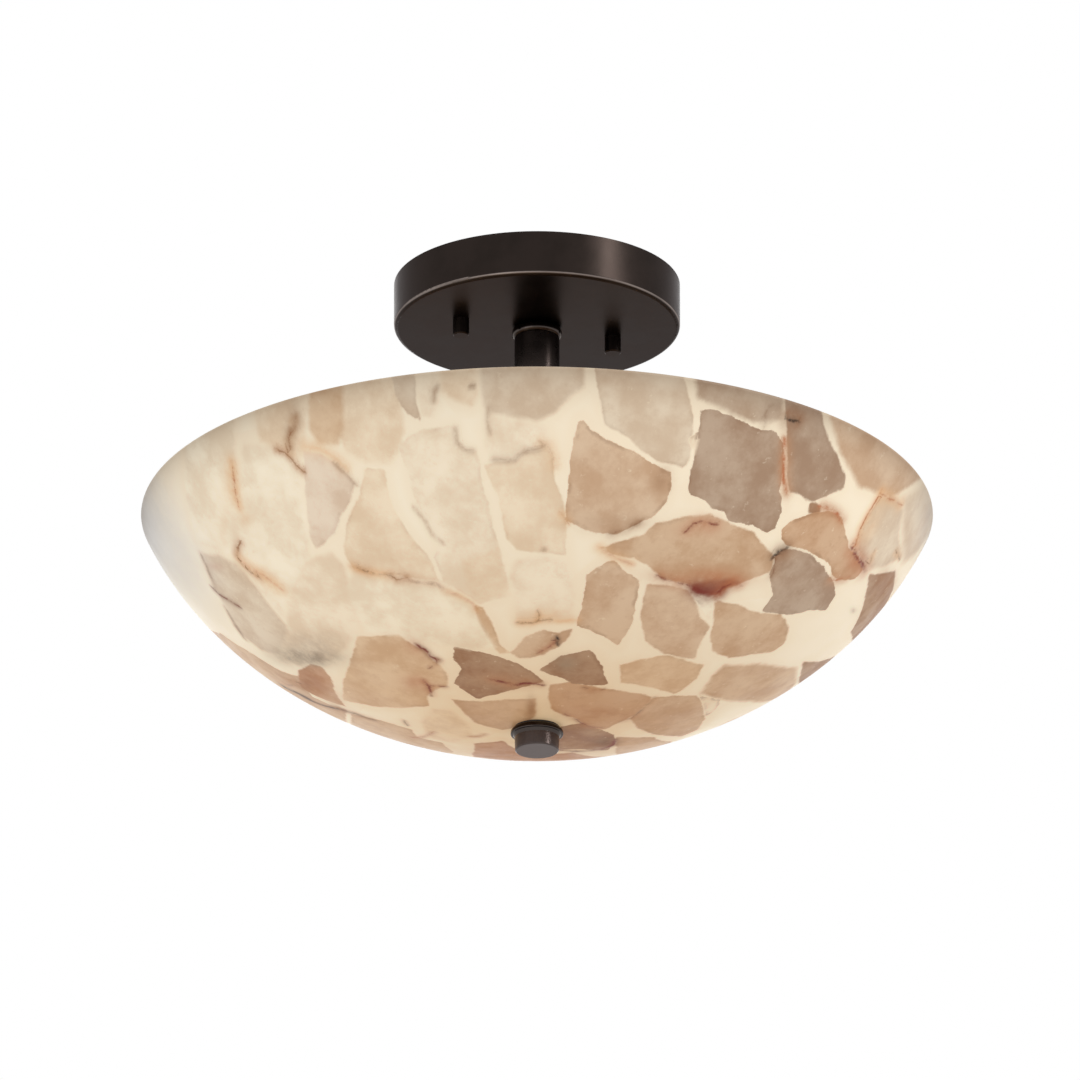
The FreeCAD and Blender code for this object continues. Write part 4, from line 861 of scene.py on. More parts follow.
@dataclass(frozen=True)
class FrostedGlass(Finish):
    """The lamps' glass, white inside and softly lit, with a fine frosting."""

    colour: Colour = from_screen(246, 240, 228)
    patch: Colour = from_screen(238, 230, 214)
    roughness: float = 0.38
    glow: float = 0.45
    frosting: float = 0.02
    grain_scale: float = 3200.0
    mottle_scale: float = 40.0

    def material(self, effects: Effects) -> bpy.types.Material:
        """Builds the material.

        Args:
            effects: the shared node groups.

        Returns:
            The material.
        """
        made, wires, place, _ = self.start()
        grain = wires.group(effects.cast_grain,
                            {"Vector": place, "Size": self.grain_scale, "Mottle": self.mottle_scale})
        colour = wires.mix(grain["Patch"], self.colour, self.patch)
        normal = wires.bump(grain["Height"], distance=self.frosting * MM)
        self.surface(wires, {"Base Color": colour, "Roughness": self.roughness, "Normal": normal,
                             "Emission Color": colour, "Emission Strength": self.glow})
        return made


@dataclass(frozen=True)
class StoneResin(Finish):
    """The bowl: stones in layers in ivory resin, with stains and veins, smooth and lit from inside."""

    layers: int = STONE_LAYERS + 1
    # The glow is painted light: the bowl shines as if the lamps lit it through.
    glow: float = 0.37
    specular: float = 0.2
    relief: float = 0.7

    @staticmethod
    def resin(wires: Wiring, place: Socket, fine: Socket, nearest: Socket) -> Socket:
        """The resin's colour: pale cells and patches, and a little darker close to the stones.

        Args:
            wires: the material's wiring.
            place: the Object coordinates.
            fine: fine patches, 0 to 1.
            nearest: the distance to the nearest stone's edge, in millimetres and negative outside.

        Returns:
            The colour.
        """
        cells = wires.node("ShaderNodeTexVoronoi", {"Vector": place, "Scale": 27.0, "Randomness": 0.9})
        shade = wires.node("ShaderNodeSeparateColor", {0: cells.outputs["Color"]}).outputs[0]
        colour = wires.mix(wires.math("MULTIPLY", shade, 0.4), Tone.RESIN.value, Tone.CREAM.value)
        colour = wires.mix(wires.math("MULTIPLY", fine, 0.25), colour, Tone.IVORY.value)
        return wires.mix(wires.ease(nearest, -8.0, -0.5, 0.0, 0.4), colour, Tone.CREAM.value)

    @staticmethod
    def stained(wires: Wiring, place: Socket, colour: Socket) -> Socket:
        """The colour with the stains laid over, patchy except the painted sheen and shade at the bowl's
        outline, which lie even.

        Args:
            wires: the material's wiring.
            place: the Object coordinates.
            colour: the colour so far.

        Returns:
            The new colour.
        """
        stain = wires.attribute("stain")
        patchy = wires.ease(wires.noise(place, 90.0, 5.0, 0.7), 0.25, 0.7, 0.5, 1.1)
        patchy = wires.ease(wires.attribute("plain")["Fac"], 0.0, 1.0, patchy, 1.0)
        return wires.mix(wires.math("MULTIPLY", stain["Alpha"], patchy), colour, stain["Color"])

    @staticmethod
    def veined(wires: Wiring, place: Socket, colour: Socket) -> Socket:
        """The colour with the veins laid over: a wandering, broken core with a faint halo.

        Args:
            wires: the material's wiring.
            place: the Object coordinates.
            colour: the colour so far.

        Returns:
            The new colour.
        """
        wander_height = 3.4
        vein = wires.attribute("vein")
        width = wires.attribute("vein_width")["Fac"]
        wander = wires.math("SUBTRACT", wires.noise(place, 240.0, 5.0, 0.7), 0.5)
        offset = wires.math("ABSOLUTE", wires.math(
            "MULTIPLY_ADD", wander, wander_height, wires.attribute("vein_offset")["Fac"]))
        broken = wires.ease(wires.noise(place, 150.0, 4.0, 0.7), 0.36, 0.62, 0.1, 1.0)
        core = wires.math("MULTIPLY", wires.ease(offset, wires.math("MULTIPLY", width, 1.9), 0.0, 0.0, 0.95),
                          wires.ease(width, 0.1, 0.8, 0.3, 1.0))
        halo = wires.ease(offset, wires.math("MULTIPLY_ADD", width, 2.5, 1.4), 0.0, 0.0, 0.3)
        line = wires.chain("MULTIPLY", wires.math("MAXIMUM", core, halo), broken, vein["Alpha"])
        return wires.mix(line, colour, vein["Color"])

    def material(self, effects: Effects) -> bpy.types.Material:
        """Builds the material from the bowl's own attributes.

        Args:
            effects: the shared node groups.

        Returns:
            The material.
        """
        made, wires, place, _ = self.start()
        distances = [wires.attribute(f"edge_{number}")["Fac"] for number in range(self.layers)]
        fine = wires.ease(wires.noise(place, 60.0, 5.0, 0.7), 0.3, 0.72)
        colour = self.resin(wires, place, fine, wires.chain("MAXIMUM", *distances))
        masks = []
        for number, distance in enumerate(distances):
            layer = wires.group(effects.stone_layer, {
                "Under": colour, "Distance": distance, "Tone": wires.attribute(f"tone_{number}")["Color"],
                "Softness": wires.attribute(f"soft_{number}")["Fac"], "Vector": place})
            colour = layer["Colour"]
            masks.append(layer["Mask"])
        colour = self.veined(wires, place, self.stained(wires, place, colour))
        # Painted shade, greyer under the rim.
        colour = wires.mix(wires.attribute("dim")["Fac"], colour, Tone.SHADE.value, "MULTIPLY")
        # Painted shade, darker and warmer round the bottom.
        colour = wires.mix(wires.attribute("painted_bottom_shade")["Fac"], colour, Tone.BOTTOM_SHADE.value, "MULTIPLY")
        height = wires.math("MULTIPLY", wires.noise(place, 700.0, 3.0), 0.03)
        height = wires.math("MULTIPLY_ADD", wires.noise(place, 45.0, 3.0), 0.14, height)
        height = wires.math("MULTIPLY_ADD", wires.chain("MAXIMUM", *masks), 0.03, height)
        self.surface(wires, {"Base Color": colour, "Roughness": wires.ease(fine, 0.0, 1.0, 0.42, 0.55),
                             "Normal": wires.bump(height, self.relief), "Specular IOR Level": self.specular,
                             "Emission Color": colour, "Emission Strength": self.glow})
        return made


def add_object(name: str, data: Any, turned: Array | None = None) -> bpy.types.Object:
    """Puts a mesh, camera or lamp into the scene.

    Args:
        name: the object's name.
        data: its mesh, camera or lamp.
        turned: its right, up and back directions and its place, one a row, unless it stays at the origin.

    Returns:
        The object.
    """
    made = bpy.data.objects.new(name, data)
    if turned is not None:
        matrix = np.eye(4)
        matrix[:3] = turned.T
        made.matrix_world = Matrix(matrix.tolist())
    bpy.context.scene.collection.objects.link(made)
    return made


@dataclass(frozen=True)
class PhotoCamera:
    """The camera at the photograph's viewing angle, below the light and in front of it."""

    azimuth: float = -17.27
    elevation: float = -21.61
    distance: float = 8.0
    lens: float = 575.2
    sensor: float = 36.0
    aim_height: float = -0.12736
    aside: float = 0.0014
    clip_end: float = 50.0

    @property
    def focal(self) -> float:
        """The focal length in the photograph's pixels."""
        return self.lens / self.sensor * IMAGE_SIDE

    def axes(self) -> tuple[Array, Array, Array, Array]:
        """Works out where the camera is and how it is turned.

        Returns:
            Its position, and its forward, right and up directions.
        """
        turn, tilt = math.radians(self.azimuth), math.radians(self.elevation)
        back = np.array([math.sin(turn) * math.cos(tilt), -math.cos(turn) * math.cos(tilt), math.sin(tilt)])
        right = np.cross(-back, (0.0, 0.0, 1.0))
        right /= np.linalg.norm(right)
        place = np.array([0.0, 0.0, self.aim_height]) + back * self.distance + right * self.aside
        return place, -back, right, np.cross(right, -back)

    def pixels(self, points: Array) -> Array:
        """Projects points of the row frame to the photograph's pixels.

        Args:
            points: an array of points, one a row.

        Returns:
            An array of pixel pairs.
        """
        place, forward, right, up = self.axes()
        seen = points - place
        scale = self.focal / (seen @ forward)
        return np.stack([IMAGE_SIDE / 2 + scale * (seen @ right), IMAGE_SIDE / 2 - scale * (seen @ up)], -1)

    def rays(self, pixels: Array) -> tuple[Array, Array]:
        """Finds the rays through pixels.

        Args:
            pixels: an array of pixel pairs.

        Returns:
            The camera's place and the direction of each ray.
        """
        place, forward, right, up = self.axes()
        across = (pixels - IMAGE_SIDE / 2) / self.focal
        ways = forward + across[:, :1] * right - across[:, 1:] * up
        return place, ways / np.linalg.norm(ways, axis=1, keepdims=True)

    def build(self) -> bpy.types.Object:
        """Makes the scene's camera.

        Returns:
            The camera.
        """
        place, forward, right, up = self.axes()
        data = bpy.data.cameras.new("photo_camera")
        data.lens, data.sensor_width, data.clip_end = self.lens, self.sensor, self.clip_end
        made = add_object("photo_camera", data, np.array([right, up, -forward, place]))
        bpy.context.scene.camera = made
        return made


def grid_mesh(name: str, points: Array, closed: bool) -> bpy.types.Mesh:
    """Joins a grid of points into a mesh of four-sided faces.

    Face (i, j) has the corners (i, j), (i, j + 1), (i + 1, j + 1) and (i + 1, j), so it looks outwards
    where columns go round against the clock and rows go up.

    Args:
        name: the mesh's name.
        points: an array of rows by columns by three.
        closed: joins the last row to the first, and the last column to the first.

    Returns:
        The mesh, with smooth shading.
    """
    rows, columns = points.shape[:2]
    low = np.arange(rows if closed else rows - 1)[:, None]
    left = np.arange(columns if closed else columns - 1)[None, :]
    high, right = (low + 1) % rows, (left + 1) % columns
    faces = np.stack([low * columns + left, low * columns + right, high * columns + right,
                      high * columns + left], -1).reshape(-1, 4)
    mesh = bpy.data.meshes.new(name)
    mesh.vertices.add(rows * columns)
    mesh.vertices.foreach_set("co", points.reshape(-1).astype(np.float32))
    mesh.loops.add(faces.size)
    mesh.loops.foreach_set("vertex_index", faces.reshape(-1).astype(np.int32))
    mesh.polygons.add(len(faces))
    mesh.polygons.foreach_set("loop_start", np.arange(0, faces.size, 4, dtype=np.int32))
    mesh.polygons.foreach_set("use_smooth", np.ones(len(faces), bool))
    mesh.update(calc_edges=True)
    mesh.validate()
    return mesh


def nearest_on_sides(points: Array, start: Array, side: Array) -> tuple[Array, Array]:
    """Gaps and distances from points to straight sides: the gap is taken to the nearest place of each side.

    Args:
        points: an array of pairs.
        start: the first point of each side.
        side: the way from its first point to its last.

    Returns:
        The gaps to the first points and the distances, one for each point and side.
    """
    gap = points[:, None] - start[None]
    share = np.clip((gap * side).sum(-1) / np.maximum((side * side).sum(-1), TINY), 0.0, 1.0)
    return gap, np.linalg.norm(gap - share[..., None] * side, axis=-1)


def signed_distance(points: Array, outline: Array) -> Array:
    """Distance from points to a closed outline, positive inside it.

    The distance is the least over the outline's sides. A point is inside where a line from it crosses the
    outline an odd number of times.

    Args:
        points: an array of pairs.
        outline: the outline's corners, in order.

    Returns:
        One distance for each point.
    """
    start, end = outline, np.roll(outline, -1, 0)
    side = end - start
    gap, away = nearest_on_sides(points, start, side)
    spans = (start[:, 1] > points[:, None, 1]) != (end[:, 1] > points[:, None, 1])
    rise = np.where(side[:, 1] == 0.0, TINY, side[:, 1])
    crossing = start[:, 0] + gap[..., 1] / rise * side[:, 0]
    inside = (spans & (points[:, None, 0] < crossing)).sum(1) % 2 == 1
    return np.where(inside, away.min(1), -away.min(1))


def line_offset(points: Array, line: Array) -> tuple[Array, Array]:
    """Sideways offset and distance from points to an open line.

    Args:
        points: an array of pairs.
        line: the line's points, in order.

    Returns:
        The offset, positive on the line's left, and the distance, one of each for each point.
    """
    side = np.diff(line, axis=0)
    gap, away = nearest_on_sides(points, line[:-1], side)
    nearest = away.argmin(1)
    rows = np.arange(len(points))
    offset = (side[:, 0] * gap[..., 1] - side[:, 1] * gap[..., 0]) / np.linalg.norm(side, axis=1)
    return offset[rows, nearest], away[rows, nearest]


def turned_back(gap: Array, degrees: float) -> tuple[Array, Array]:
    """Splits gaps into their parts along and beside a direction.

    Args:
        gap: an array of pairs.
        degrees: the direction's turn.

    Returns:
        The parts along it and the parts beside it.
    """
    cosine, sine = math.cos(math.radians(degrees)), math.sin(math.radians(degrees))
    return gap[:, 0] * cosine + gap[:, 1] * sine, -gap[:, 0] * sine + gap[:, 1] * cosine


@dataclass(frozen=True)
class HiddenStones:
    """The stones that the camera doesn't see: cells round scattered seeds, each drawn in by its own gap."""

    seed: int = 4734
    steps: int = 7
    pitch: float = 46.0
    row_share: float = 0.87
    jitter: float = 21.0
    left_out: float = 0.12
    bend: float = 3.4
    gaps: tuple[float, ...] = (0.9, 1.6, 2.6, 4.2)
    tones: tuple[tuple[Tone, float], ...] = (
        (Tone.CREAM, 0.2), (Tone.BONE, 0.15), (Tone.STRAW, 0.15), (Tone.TAN, 0.15), (Tone.FAWN, 0.12),
        (Tone.BLUSH, 0.12), (Tone.GINGER, 0.06), (Tone.MAUVE, 0.05))
    softness: tuple[tuple[float, float], ...] = ((0.4, 0.4), (0.8, 0.35), (2.0, 0.25))

    def scatter(self) -> tuple[Array, Array, Array, Array]:
        """Scatters the seeds on a staggered grid, with some left out.

        Returns:
            Their places on the flat map, and their gaps, tones and softnesses.
        """
        chance = np.random.default_rng(self.seed)
        across, down = np.meshgrid(*[np.arange(-self.steps, self.steps + 1)] * 2)
        grid = [(across + 0.5 * (down % 2)) * self.pitch, down * self.pitch * self.row_share]
        seeds = np.stack(grid, -1).reshape(-1, 2)
        seeds = seeds + chance.uniform(-self.jitter, self.jitter, seeds.shape)
        seeds = seeds[chance.random(len(seeds)) > self.left_out]
        gaps = chance.choice(self.gaps, len(seeds))
        tones, shares = zip(*self.tones)
        picked = np.array([tone.value for tone in tones])[chance.choice(len(tones), len(seeds), p=shares)]
        widths, shares = zip(*self.softness)
        return seeds, gaps, picked, chance.choice(widths, len(seeds), p=shares)

    def cells(self, places: Array, seeds: Array) -> tuple[Array, Array]:
        """Finds each place's cell and how far inside it the place lies.

        The places are first bent by slow waves, so that the cells' sides aren't straight. The distance to
        the side is half the difference of the squared distances to the two nearest seeds, over the distance
        between them.

        Args:
            places: places on the flat map, in millimetres.
            seeds: the seeds.

        Returns:
            The number of the nearest seed and the distance to the cell's side, for each place.
        """
        wave = np.stack([np.sin(places[:, 1] / 17.0 + 1.0) + 0.6 * np.sin(places[:, 1] / 7.3),
                         np.sin(places[:, 0] / 19.0) + 0.6 * np.sin(places[:, 0] / 6.7 + 2.0)], -1)
        away = ((places[:, None] + self.bend * wave[:, None] - seeds[None]) ** 2).sum(-1)
        order = np.argpartition(away, 1, axis=1)[:, :2]
        rows = np.arange(len(places))
        swap = away[rows, order[:, 0]] > away[rows, order[:, 1]]
        order[swap] = order[swap][:, ::-1]
        near, second = order[:, 0], order[:, 1]
        between = np.linalg.norm(seeds[near] - seeds[second], axis=1)
        return near, (away[rows, second] - away[rows, near]) / (2.0 * between)

    @staticmethod
    def cracks(places: Array) -> Array:
        """Where the stones' edges carry a brown crack: crossing slow waves above a limit.

        Args:
            places: places on the flat map, in millimetres.

        Returns:
            One share for each place.
        """
        wave = np.sin(places[:, 0] / 21.0 + 0.7) * np.sin(places[:, 1] / 25.0 + 2.1)
        wave += 0.5 * np.sin((places[:, 0] + places[:, 1]) / 11.0)
        return np.clip((wave - 0.55) / 0.35, 0.0, 1.0)


@dataclass
class BowlShade:
    """The bowl: an ellipse turned round the Z axis, with a hole for the rod. Sizes are in millimetres."""

    half_width: float = 197.11
    half_height: float = 163.79
    centre_height: float = -56.91
    wall: float = 6.0
    rim_height: float = -115.0
    rim_round: float = 1.2
    hole_radius: float = 7.0
    columns: int = 480
    outer_rows: int = 150
    inner_rows: int = 34
    round_rows: int = 6
    table_rows: int = 2001
    crowding: float = 0.35
    level_turn: float = 1.8
    photo_centre: tuple[float, float] = (541.9, 512.5)
    model_centre: tuple[float, float] = (537.0, 514.0)
    camera: PhotoCamera = field(default_factory=PhotoCamera)

    @property
    def centre(self) -> Array:
        """The ellipse's centre."""
        return np.array([0.0, 0.0, self.centre_height])

    @property
    def half_sizes(self) -> Array:
        """Half the ellipse's sizes along X, Y and Z."""
        return np.array([self.half_width, self.half_width, self.half_height])

    def wall_curve(self, inset: float, low: float, high: float, count: int) -> tuple[Array, Array, Array]:
        """Part of an ellipse inset from the outer wall.

        Its radius is width x sin(t), and its height is centre - depth x cos(t).

        Args:
            inset: how far in from the outer wall.
            low, high: the first and last parameter t.
            count: how many points.

        Returns:
            The parameters, radii and heights.
        """
        angle = np.linspace(low, high, count)
        radius = (self.half_width - inset) * np.sin(angle)
        return angle, radius, self.centre_height - (self.half_height - inset) * np.cos(angle)

    def angle_at(self, inset: float, height: float) -> float:
        """The parameter t of a wall at a height."""
        return math.acos((self.centre_height - height) / (self.half_height - inset))

    def profile(self) -> tuple[Array, Array, Array]:
        """The wall's closed outline, from the hole up the outer wall, over the rim and down the inner wall.

        The rim's two edges are quarter arcs that meet the walls without a corner.

        Returns:
            The parameters t, radii and heights of its points.
        """
        top = self.rim_height - self.rim_round
        parts = []
        for inset, centre_inset, rows in ((0.0, self.rim_round, self.outer_rows),
                                          (self.wall, self.wall - self.rim_round, self.inner_rows)):
            meet = self.angle_at(centre_inset, top)
            slope = math.atan2(math.cos(meet) * (self.half_width - inset),
                               math.sin(meet) * (self.half_height - inset))
            start = math.asin(self.hole_radius / (self.half_width - inset))
            wall = self.wall_curve(inset, start, meet, rows)
            ends = (math.pi / 2, math.pi - slope) if inset else (-slope, math.pi / 2)
            arc = np.linspace(*ends, self.round_rows)
            centre = (self.half_width - centre_inset) * math.sin(meet)
            turned = (np.full(self.round_rows, meet), centre + self.rim_round * np.cos(arc),
                      top + self.rim_round * np.sin(arc))
            if inset:
                parts += [turned, [row[-2::-1] for row in wall]]
            else:
                parts += [[row[:-1] for row in wall], turned]
        angles, radii, heights = (np.concatenate([part[k] for part in parts]) for k in range(3))
        return angles, radii, heights

    def arc_table(self) -> tuple[Array, Array]:
        """Measures the outer wall by adding up short steps.

        Returns:
            Parameters t, and the length along the wall from its lowest point to each.
        """
        fine = np.linspace(0.0, math.pi / 2, self.table_rows)
        step = np.hypot(self.half_width * np.cos(fine), self.half_height * np.sin(fine))
        return fine, np.concatenate([[0.0], np.cumsum((step[1:] + step[:-1]) / 2 * np.diff(fine))])

    def arc_length(self, angles: Array | float) -> Array:
        """Length along the outer wall from its lowest point to each parameter t."""
        return np.interp(angles, *self.arc_table())

    def flat_place(self, points: Array) -> Array:
        """Lays points of the outer wall flat: the distance from the middle is the length along the wall.

        Args:
            points: an array of points.

        Returns:
            Their places on the flat map.
        """
        angle = np.arccos(np.clip((self.centre_height - points[:, 2]) / self.half_height, -1.0, 1.0))
        turn = np.arctan2(points[:, 1], points[:, 0])
        length = self.arc_length(angle)
        return np.stack([length * np.cos(turn), length * np.sin(turn)], -1)

    def from_flat(self, places: Array) -> Array:
        """Puts places of the flat map back on the outer wall.

        Args:
            places: an array of places on the flat map.

        Returns:
            Their points.
        """
        fine, total = self.arc_table()
        length = np.linalg.norm(places, axis=1)
        angle = np.interp(length, total, fine)
        ring = places / np.maximum(length, TINY)[:, None]
        height = self.centre_height - self.half_height * np.cos(angle)
        return np.concatenate([ring * (self.half_width * np.sin(angle))[:, None], height[:, None]], 1)

    def facing(self, points: Array) -> Array:
        """Cosine between the outer wall's outward direction and the way to the camera.

        The outward direction is the gradient of the ellipse's equation.

        Args:
            points: points of the outer wall.

        Returns:
            One cosine for each point, above nought where the camera sees it.
        """
        outwards = (points - self.centre) / self.half_sizes ** 2
        outwards /= np.linalg.norm(outwards, axis=1, keepdims=True)
        towards = self.camera.axes()[0] / MM - points
        return (outwards * towards / np.linalg.norm(towards, axis=1, keepdims=True)).sum(1)

    def turns(self) -> Array:
        """Spreads the columns, closer together on the side that the camera sees.

        Returns:
            The angle of each column.
        """
        even = np.linspace(-1.0, 1.0, self.columns, endpoint=False)
        crowded = even * (1.0 - self.crowding) + self.crowding * even * np.abs(even)
        return math.radians(self.camera.azimuth - 90.0) + math.pi * crowded

    def levelled(self, pixels: Array) -> Array:
        """Turns pixels of the photograph, where the bowl hangs a little askew, to those of the level bowl.

        Args:
            pixels: an array of pixel pairs.

        Returns:
            The turned pairs.
        """
        along, aside = turned_back(pixels - np.array(self.photo_centre), self.level_turn)
        return np.stack([along, aside], -1) + np.array(self.model_centre)

    def on_wall(self, pixels: PixelPairs) -> Array:
        """Finds where the camera's rays through pixels meet the outer wall.

        The ray and the ellipse of the wall give a quadratic. A ray that misses by a little takes the point
        as far behind the bowl's outline as its mirror image lies before it.

        Args:
            pixels: pairs in the photograph.

        Returns:
            Places on the flat map.
        """
        place, ways = self.camera.rays(self.levelled(np.array(pixels, float)))
        start, step = (place / MM - self.centre) / self.half_sizes, ways / self.half_sizes
        square, half, rest = (step * step).sum(1), step @ start, start @ start - 1.0
        inner = half * half - square * rest
        far = (-half - np.sign(inner) * np.sqrt(np.abs(inner))) / square
        met = start + far[:, None] * step
        met /= np.linalg.norm(met, axis=1, keepdims=True)
        return self.flat_place(met * self.half_sizes + self.centre)

    def build(self, finish: bpy.types.Material) -> bpy.types.Object:
        """Builds and paints the bowl, which stands for the plain one of the frame.

        Args:
            finish: its material.

        Returns:
            The bowl.
        """
        angles, radii, heights = self.profile()
        turns = self.turns()
        ring = np.stack([np.cos(turns), np.sin(turns)], -1)

        def swept(distances: Array, levels: Array) -> Array:
            """Carries a profile round the axis."""
            flat = distances[:, None, None] * ring[None]
            return np.concatenate([flat, np.broadcast_to(levels[:, None, None], flat[..., :1].shape)], -1)

        mesh = grid_mesh("bowl_shell", swept(radii, heights) * MM, closed=True)
        outer = swept(self.half_width * np.sin(angles),
                      self.centre_height - self.half_height * np.cos(angles))
        places = self.arc_length(angles)[:, None, None] * ring[None]
        BowlPaint(self, mesh, outer.reshape(-1, 3), places.reshape(-1, 2)).paint()
        made = add_object("bowl_shell", mesh)
        mesh.materials.append(finish)
        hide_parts("bowl_shade")
        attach(made, "bowl")
        return made


@dataclass
class BowlPaint:
    """Writes the stones, stains, veins, and painted shade and sheen that the bowl's material reads. Sizes are
    in millimetres.

    The points are the mesh's vertices on the outer wall, and the places are the same on the flat map.
    """

    shade: BowlShade
    mesh: bpy.types.Mesh
    points: Array
    places: Array
    reach: float = 14.0
    hidden_from: float = -0.06
    hidden_gap: float = 2.2
    fade_behind: float = 0.4
    haze_reach: float = 2.4
    far_off: float = 10.0
    crack_width: float = 0.5
    crack_haze: float = 3.5
    crack_ochre: float = 0.6
    vein_reach: float = 4.0
    vein_full: float = 1.4
    vein_fade: float = 2.0
    # The painted shade under the rim fades over this depth.
    rim_shade_depth: float = 9.5
    # Share and radius of the painted shade round the bottom.
    bottom_shade_share: float = 0.8
    bottom_shade_radius: float = 95.0
    hidden: HiddenStones = field(default_factory=HiddenStones)

    def __post_init__(self) -> None:
        """Works out how the camera sees the vertices."""
        self.facing = self.shade.facing(self.points)
        self.seen = self.shade.camera.pixels(self.points * MM)

    def store_value(self, name: str, values: Array) -> None:
        """Writes one number for each vertex."""
        made = self.mesh.attributes.new(name, "FLOAT", "POINT")
        made.data.foreach_set("value", values.astype(np.float32))

    def store_colour(self, name: str, values: Array) -> None:
        """Writes one colour for each vertex."""
        made = self.mesh.attributes.new(name, "FLOAT_COLOR", "POINT")
        made.data.foreach_set("color", values.reshape(-1).astype(np.float32))

    def store_layer(self, number: int, edge: Array, tone: Array, soft: Array) -> None:
        """Writes one layer of stones.

        Args:
            number: the layer's number.
            edge, tone, soft: the distance to the edge, the tone and the softness at each vertex.
        """
        self.store_value(f"edge_{number}", np.clip(edge, -self.reach, self.reach))
        self.store_value(f"soft_{number}", soft)
        self.store_colour(f"tone_{number}", tone)

    def near(self, line: Array, reach: float) -> Array:
        """Numbers of the vertices in the box round a line or outline, widened by a reach."""
        inside = (self.places > line.min(0) - reach) & (self.places < line.max(0) + reach)
        return np.flatnonzero(inside.all(1))

    def stones(self) -> Array:
        """Writes the hidden stones as layer 0, and those of the photograph as the layers above.

        Returns:
            The distance from each vertex to the nearest hidden stone's edge.
        """
        count = len(self.places)
        drawn = np.full(count, -self.reach)
        for number in range(STONE_LAYERS):
            edge = np.full(count, -self.reach)
            tone = np.tile(np.array(Tone.SAND.value), (count, 1))
            soft = np.full(count, Edge.PLAIN.value)
            for stone in (one for one in STONES if one.layer == number):
                outline = self.shade.on_wall(stone.outline)
                near = self.near(outline, self.reach)
                found = signed_distance(self.places[near], outline)
                better = found > edge[near]
                chosen = near[better]
                edge[chosen], tone[chosen], soft[chosen] = found[better], stone.tone.value, stone.edge.value
            self.store_layer(number + 1, edge, tone, soft)
            drawn = np.maximum(drawn, edge)

        seeds, gaps, tones, softness = self.hidden.scatter()
        near, edge = self.hidden.cells(self.places, seeds)
        behind = self.shade.facing(self.shade.from_flat(seeds)) < self.hidden_from
        edge = np.where(behind[near], edge - gaps[near], -self.reach)
        edge = np.clip(np.minimum(edge, -drawn - self.hidden_gap), -self.reach, self.reach)
        self.store_layer(0, edge, tones[near], softness[near])
        return edge

    @staticmethod
    def laid_over(colour: Array, alpha: Array, tone: Tone, share: Array) -> tuple[Array, Array]:
        """Lays one soft colour over what is there, both kept multiplied by their share."""
        colour = colour * (1.0 - share)[:, None] + np.array(tone.value[:3]) * share[:, None]
        return colour, alpha * (1.0 - share) + share

    def stain_share(self, stain: Stain) -> Array:
        """How much of a stain lies on each vertex: strength x exp(-(along^2 + aside^2)).

        Args:
            stain: the stain.

        Returns:
            One share for each vertex.
        """
        gap = self.seen - self.shade.levelled(np.array([stain.centre], float))
        along, aside = (way / reach for way, reach in zip(turned_back(gap, stain.turn), stain.reach))
        behind = np.clip(1.0 + self.facing / self.fade_behind, 0.0, 1.0)
        return stain.strength * np.exp(-(along ** 2 + aside ** 2)) * behind

    def stains(self, cracked: Array) -> None:
        """Writes the stains, the veins' hazes and the painted sheen and shade at the bowl's outline, laid
        over each other.

        Args:
            cracked: the share of ochre that the hidden stones' cracks bring.
        """
        count = len(self.places)
        colour, alpha = self.laid_over(np.zeros((count, 3)), np.zeros(count), Tone.OCHRE, cracked)
        for stain in STAINS:
            colour, alpha = self.laid_over(colour, alpha, stain.tone, self.stain_share(stain))
        for vein in VEINS:
            line = self.shade.on_wall(vein.points)
            near = self.near(line, self.haze_reach * vein.spread)
            share = vein.strength * np.exp(-(line_offset(self.places[near], line)[1] / vein.spread) ** 2)
            colour[near], alpha[near] = self.laid_over(colour[near], alpha[near], vein.haze, share)
        # The painted sheen and shade at the outline lie even, not patchy.
        even = np.zeros(count)
        for stain in PAINTED_EDGE_SHADE_AND_SHEEN:
            share = self.stain_share(stain)
            colour, alpha = self.laid_over(colour, alpha, stain.tone, share)
            even = even * (1.0 - share) + share
        self.store_colour("stain", np.column_stack([colour / np.maximum(alpha, TINY)[:, None], alpha]))
        # plain holds the share of painted sheen and shade, which the material keeps even.
        self.store_value("plain", even)

    def veins(self, edge: Array, cracks: Array) -> None:
        """Writes the veins: each vertex keeps the nearest one, or the edge of a cracked hidden stone.

        Args:
            edge: the distance to the nearest hidden stone's edge.
            cracks: how much of a crack that edge carries.
        """
        count = len(self.places)
        offset, width = np.where(cracks > 0.0, edge, self.far_off), np.full(count, self.crack_width)
        best = np.full(count, self.vein_reach)
        toned = np.column_stack([np.tile(Tone.BARK.value[:3], (count, 1)), cracks])
        for vein in VEINS:
            line = self.shade.on_wall(vein.points)
            near = self.near(line, self.vein_reach + 1.0)
            aside, away = line_offset(self.places[near], line)
            better = away < best[near]
            chosen = near[better]
            best[chosen], offset[chosen], width[chosen] = away[better], aside[better], vein.width
            fade = (self.vein_full + self.vein_fade - away[better]) / self.vein_fade
            toned[chosen, :3], toned[chosen, 3] = vein.tone.value[:3], np.clip(fade, 0.0, 1.0)
        self.store_value("vein_offset", offset)
        self.store_value("vein_width", width)
        self.store_colour("vein", toned)

    def paint(self) -> None:
        """Writes everything.

        The rim's painted shade falls off as exp(-depth), and the painted shade round the bottom as
        exp(-radius^2).
        """
        edge = self.stones()
        cracks = self.hidden.cracks(self.places) * (self.facing < self.hidden_from)
        self.stains(self.crack_ochre * cracks * np.exp(-(edge / self.crack_haze) ** 2))
        radius = np.linalg.norm(self.places, axis=1)
        rim = self.shade.arc_length(self.shade.angle_at(0.0, self.shade.rim_height))
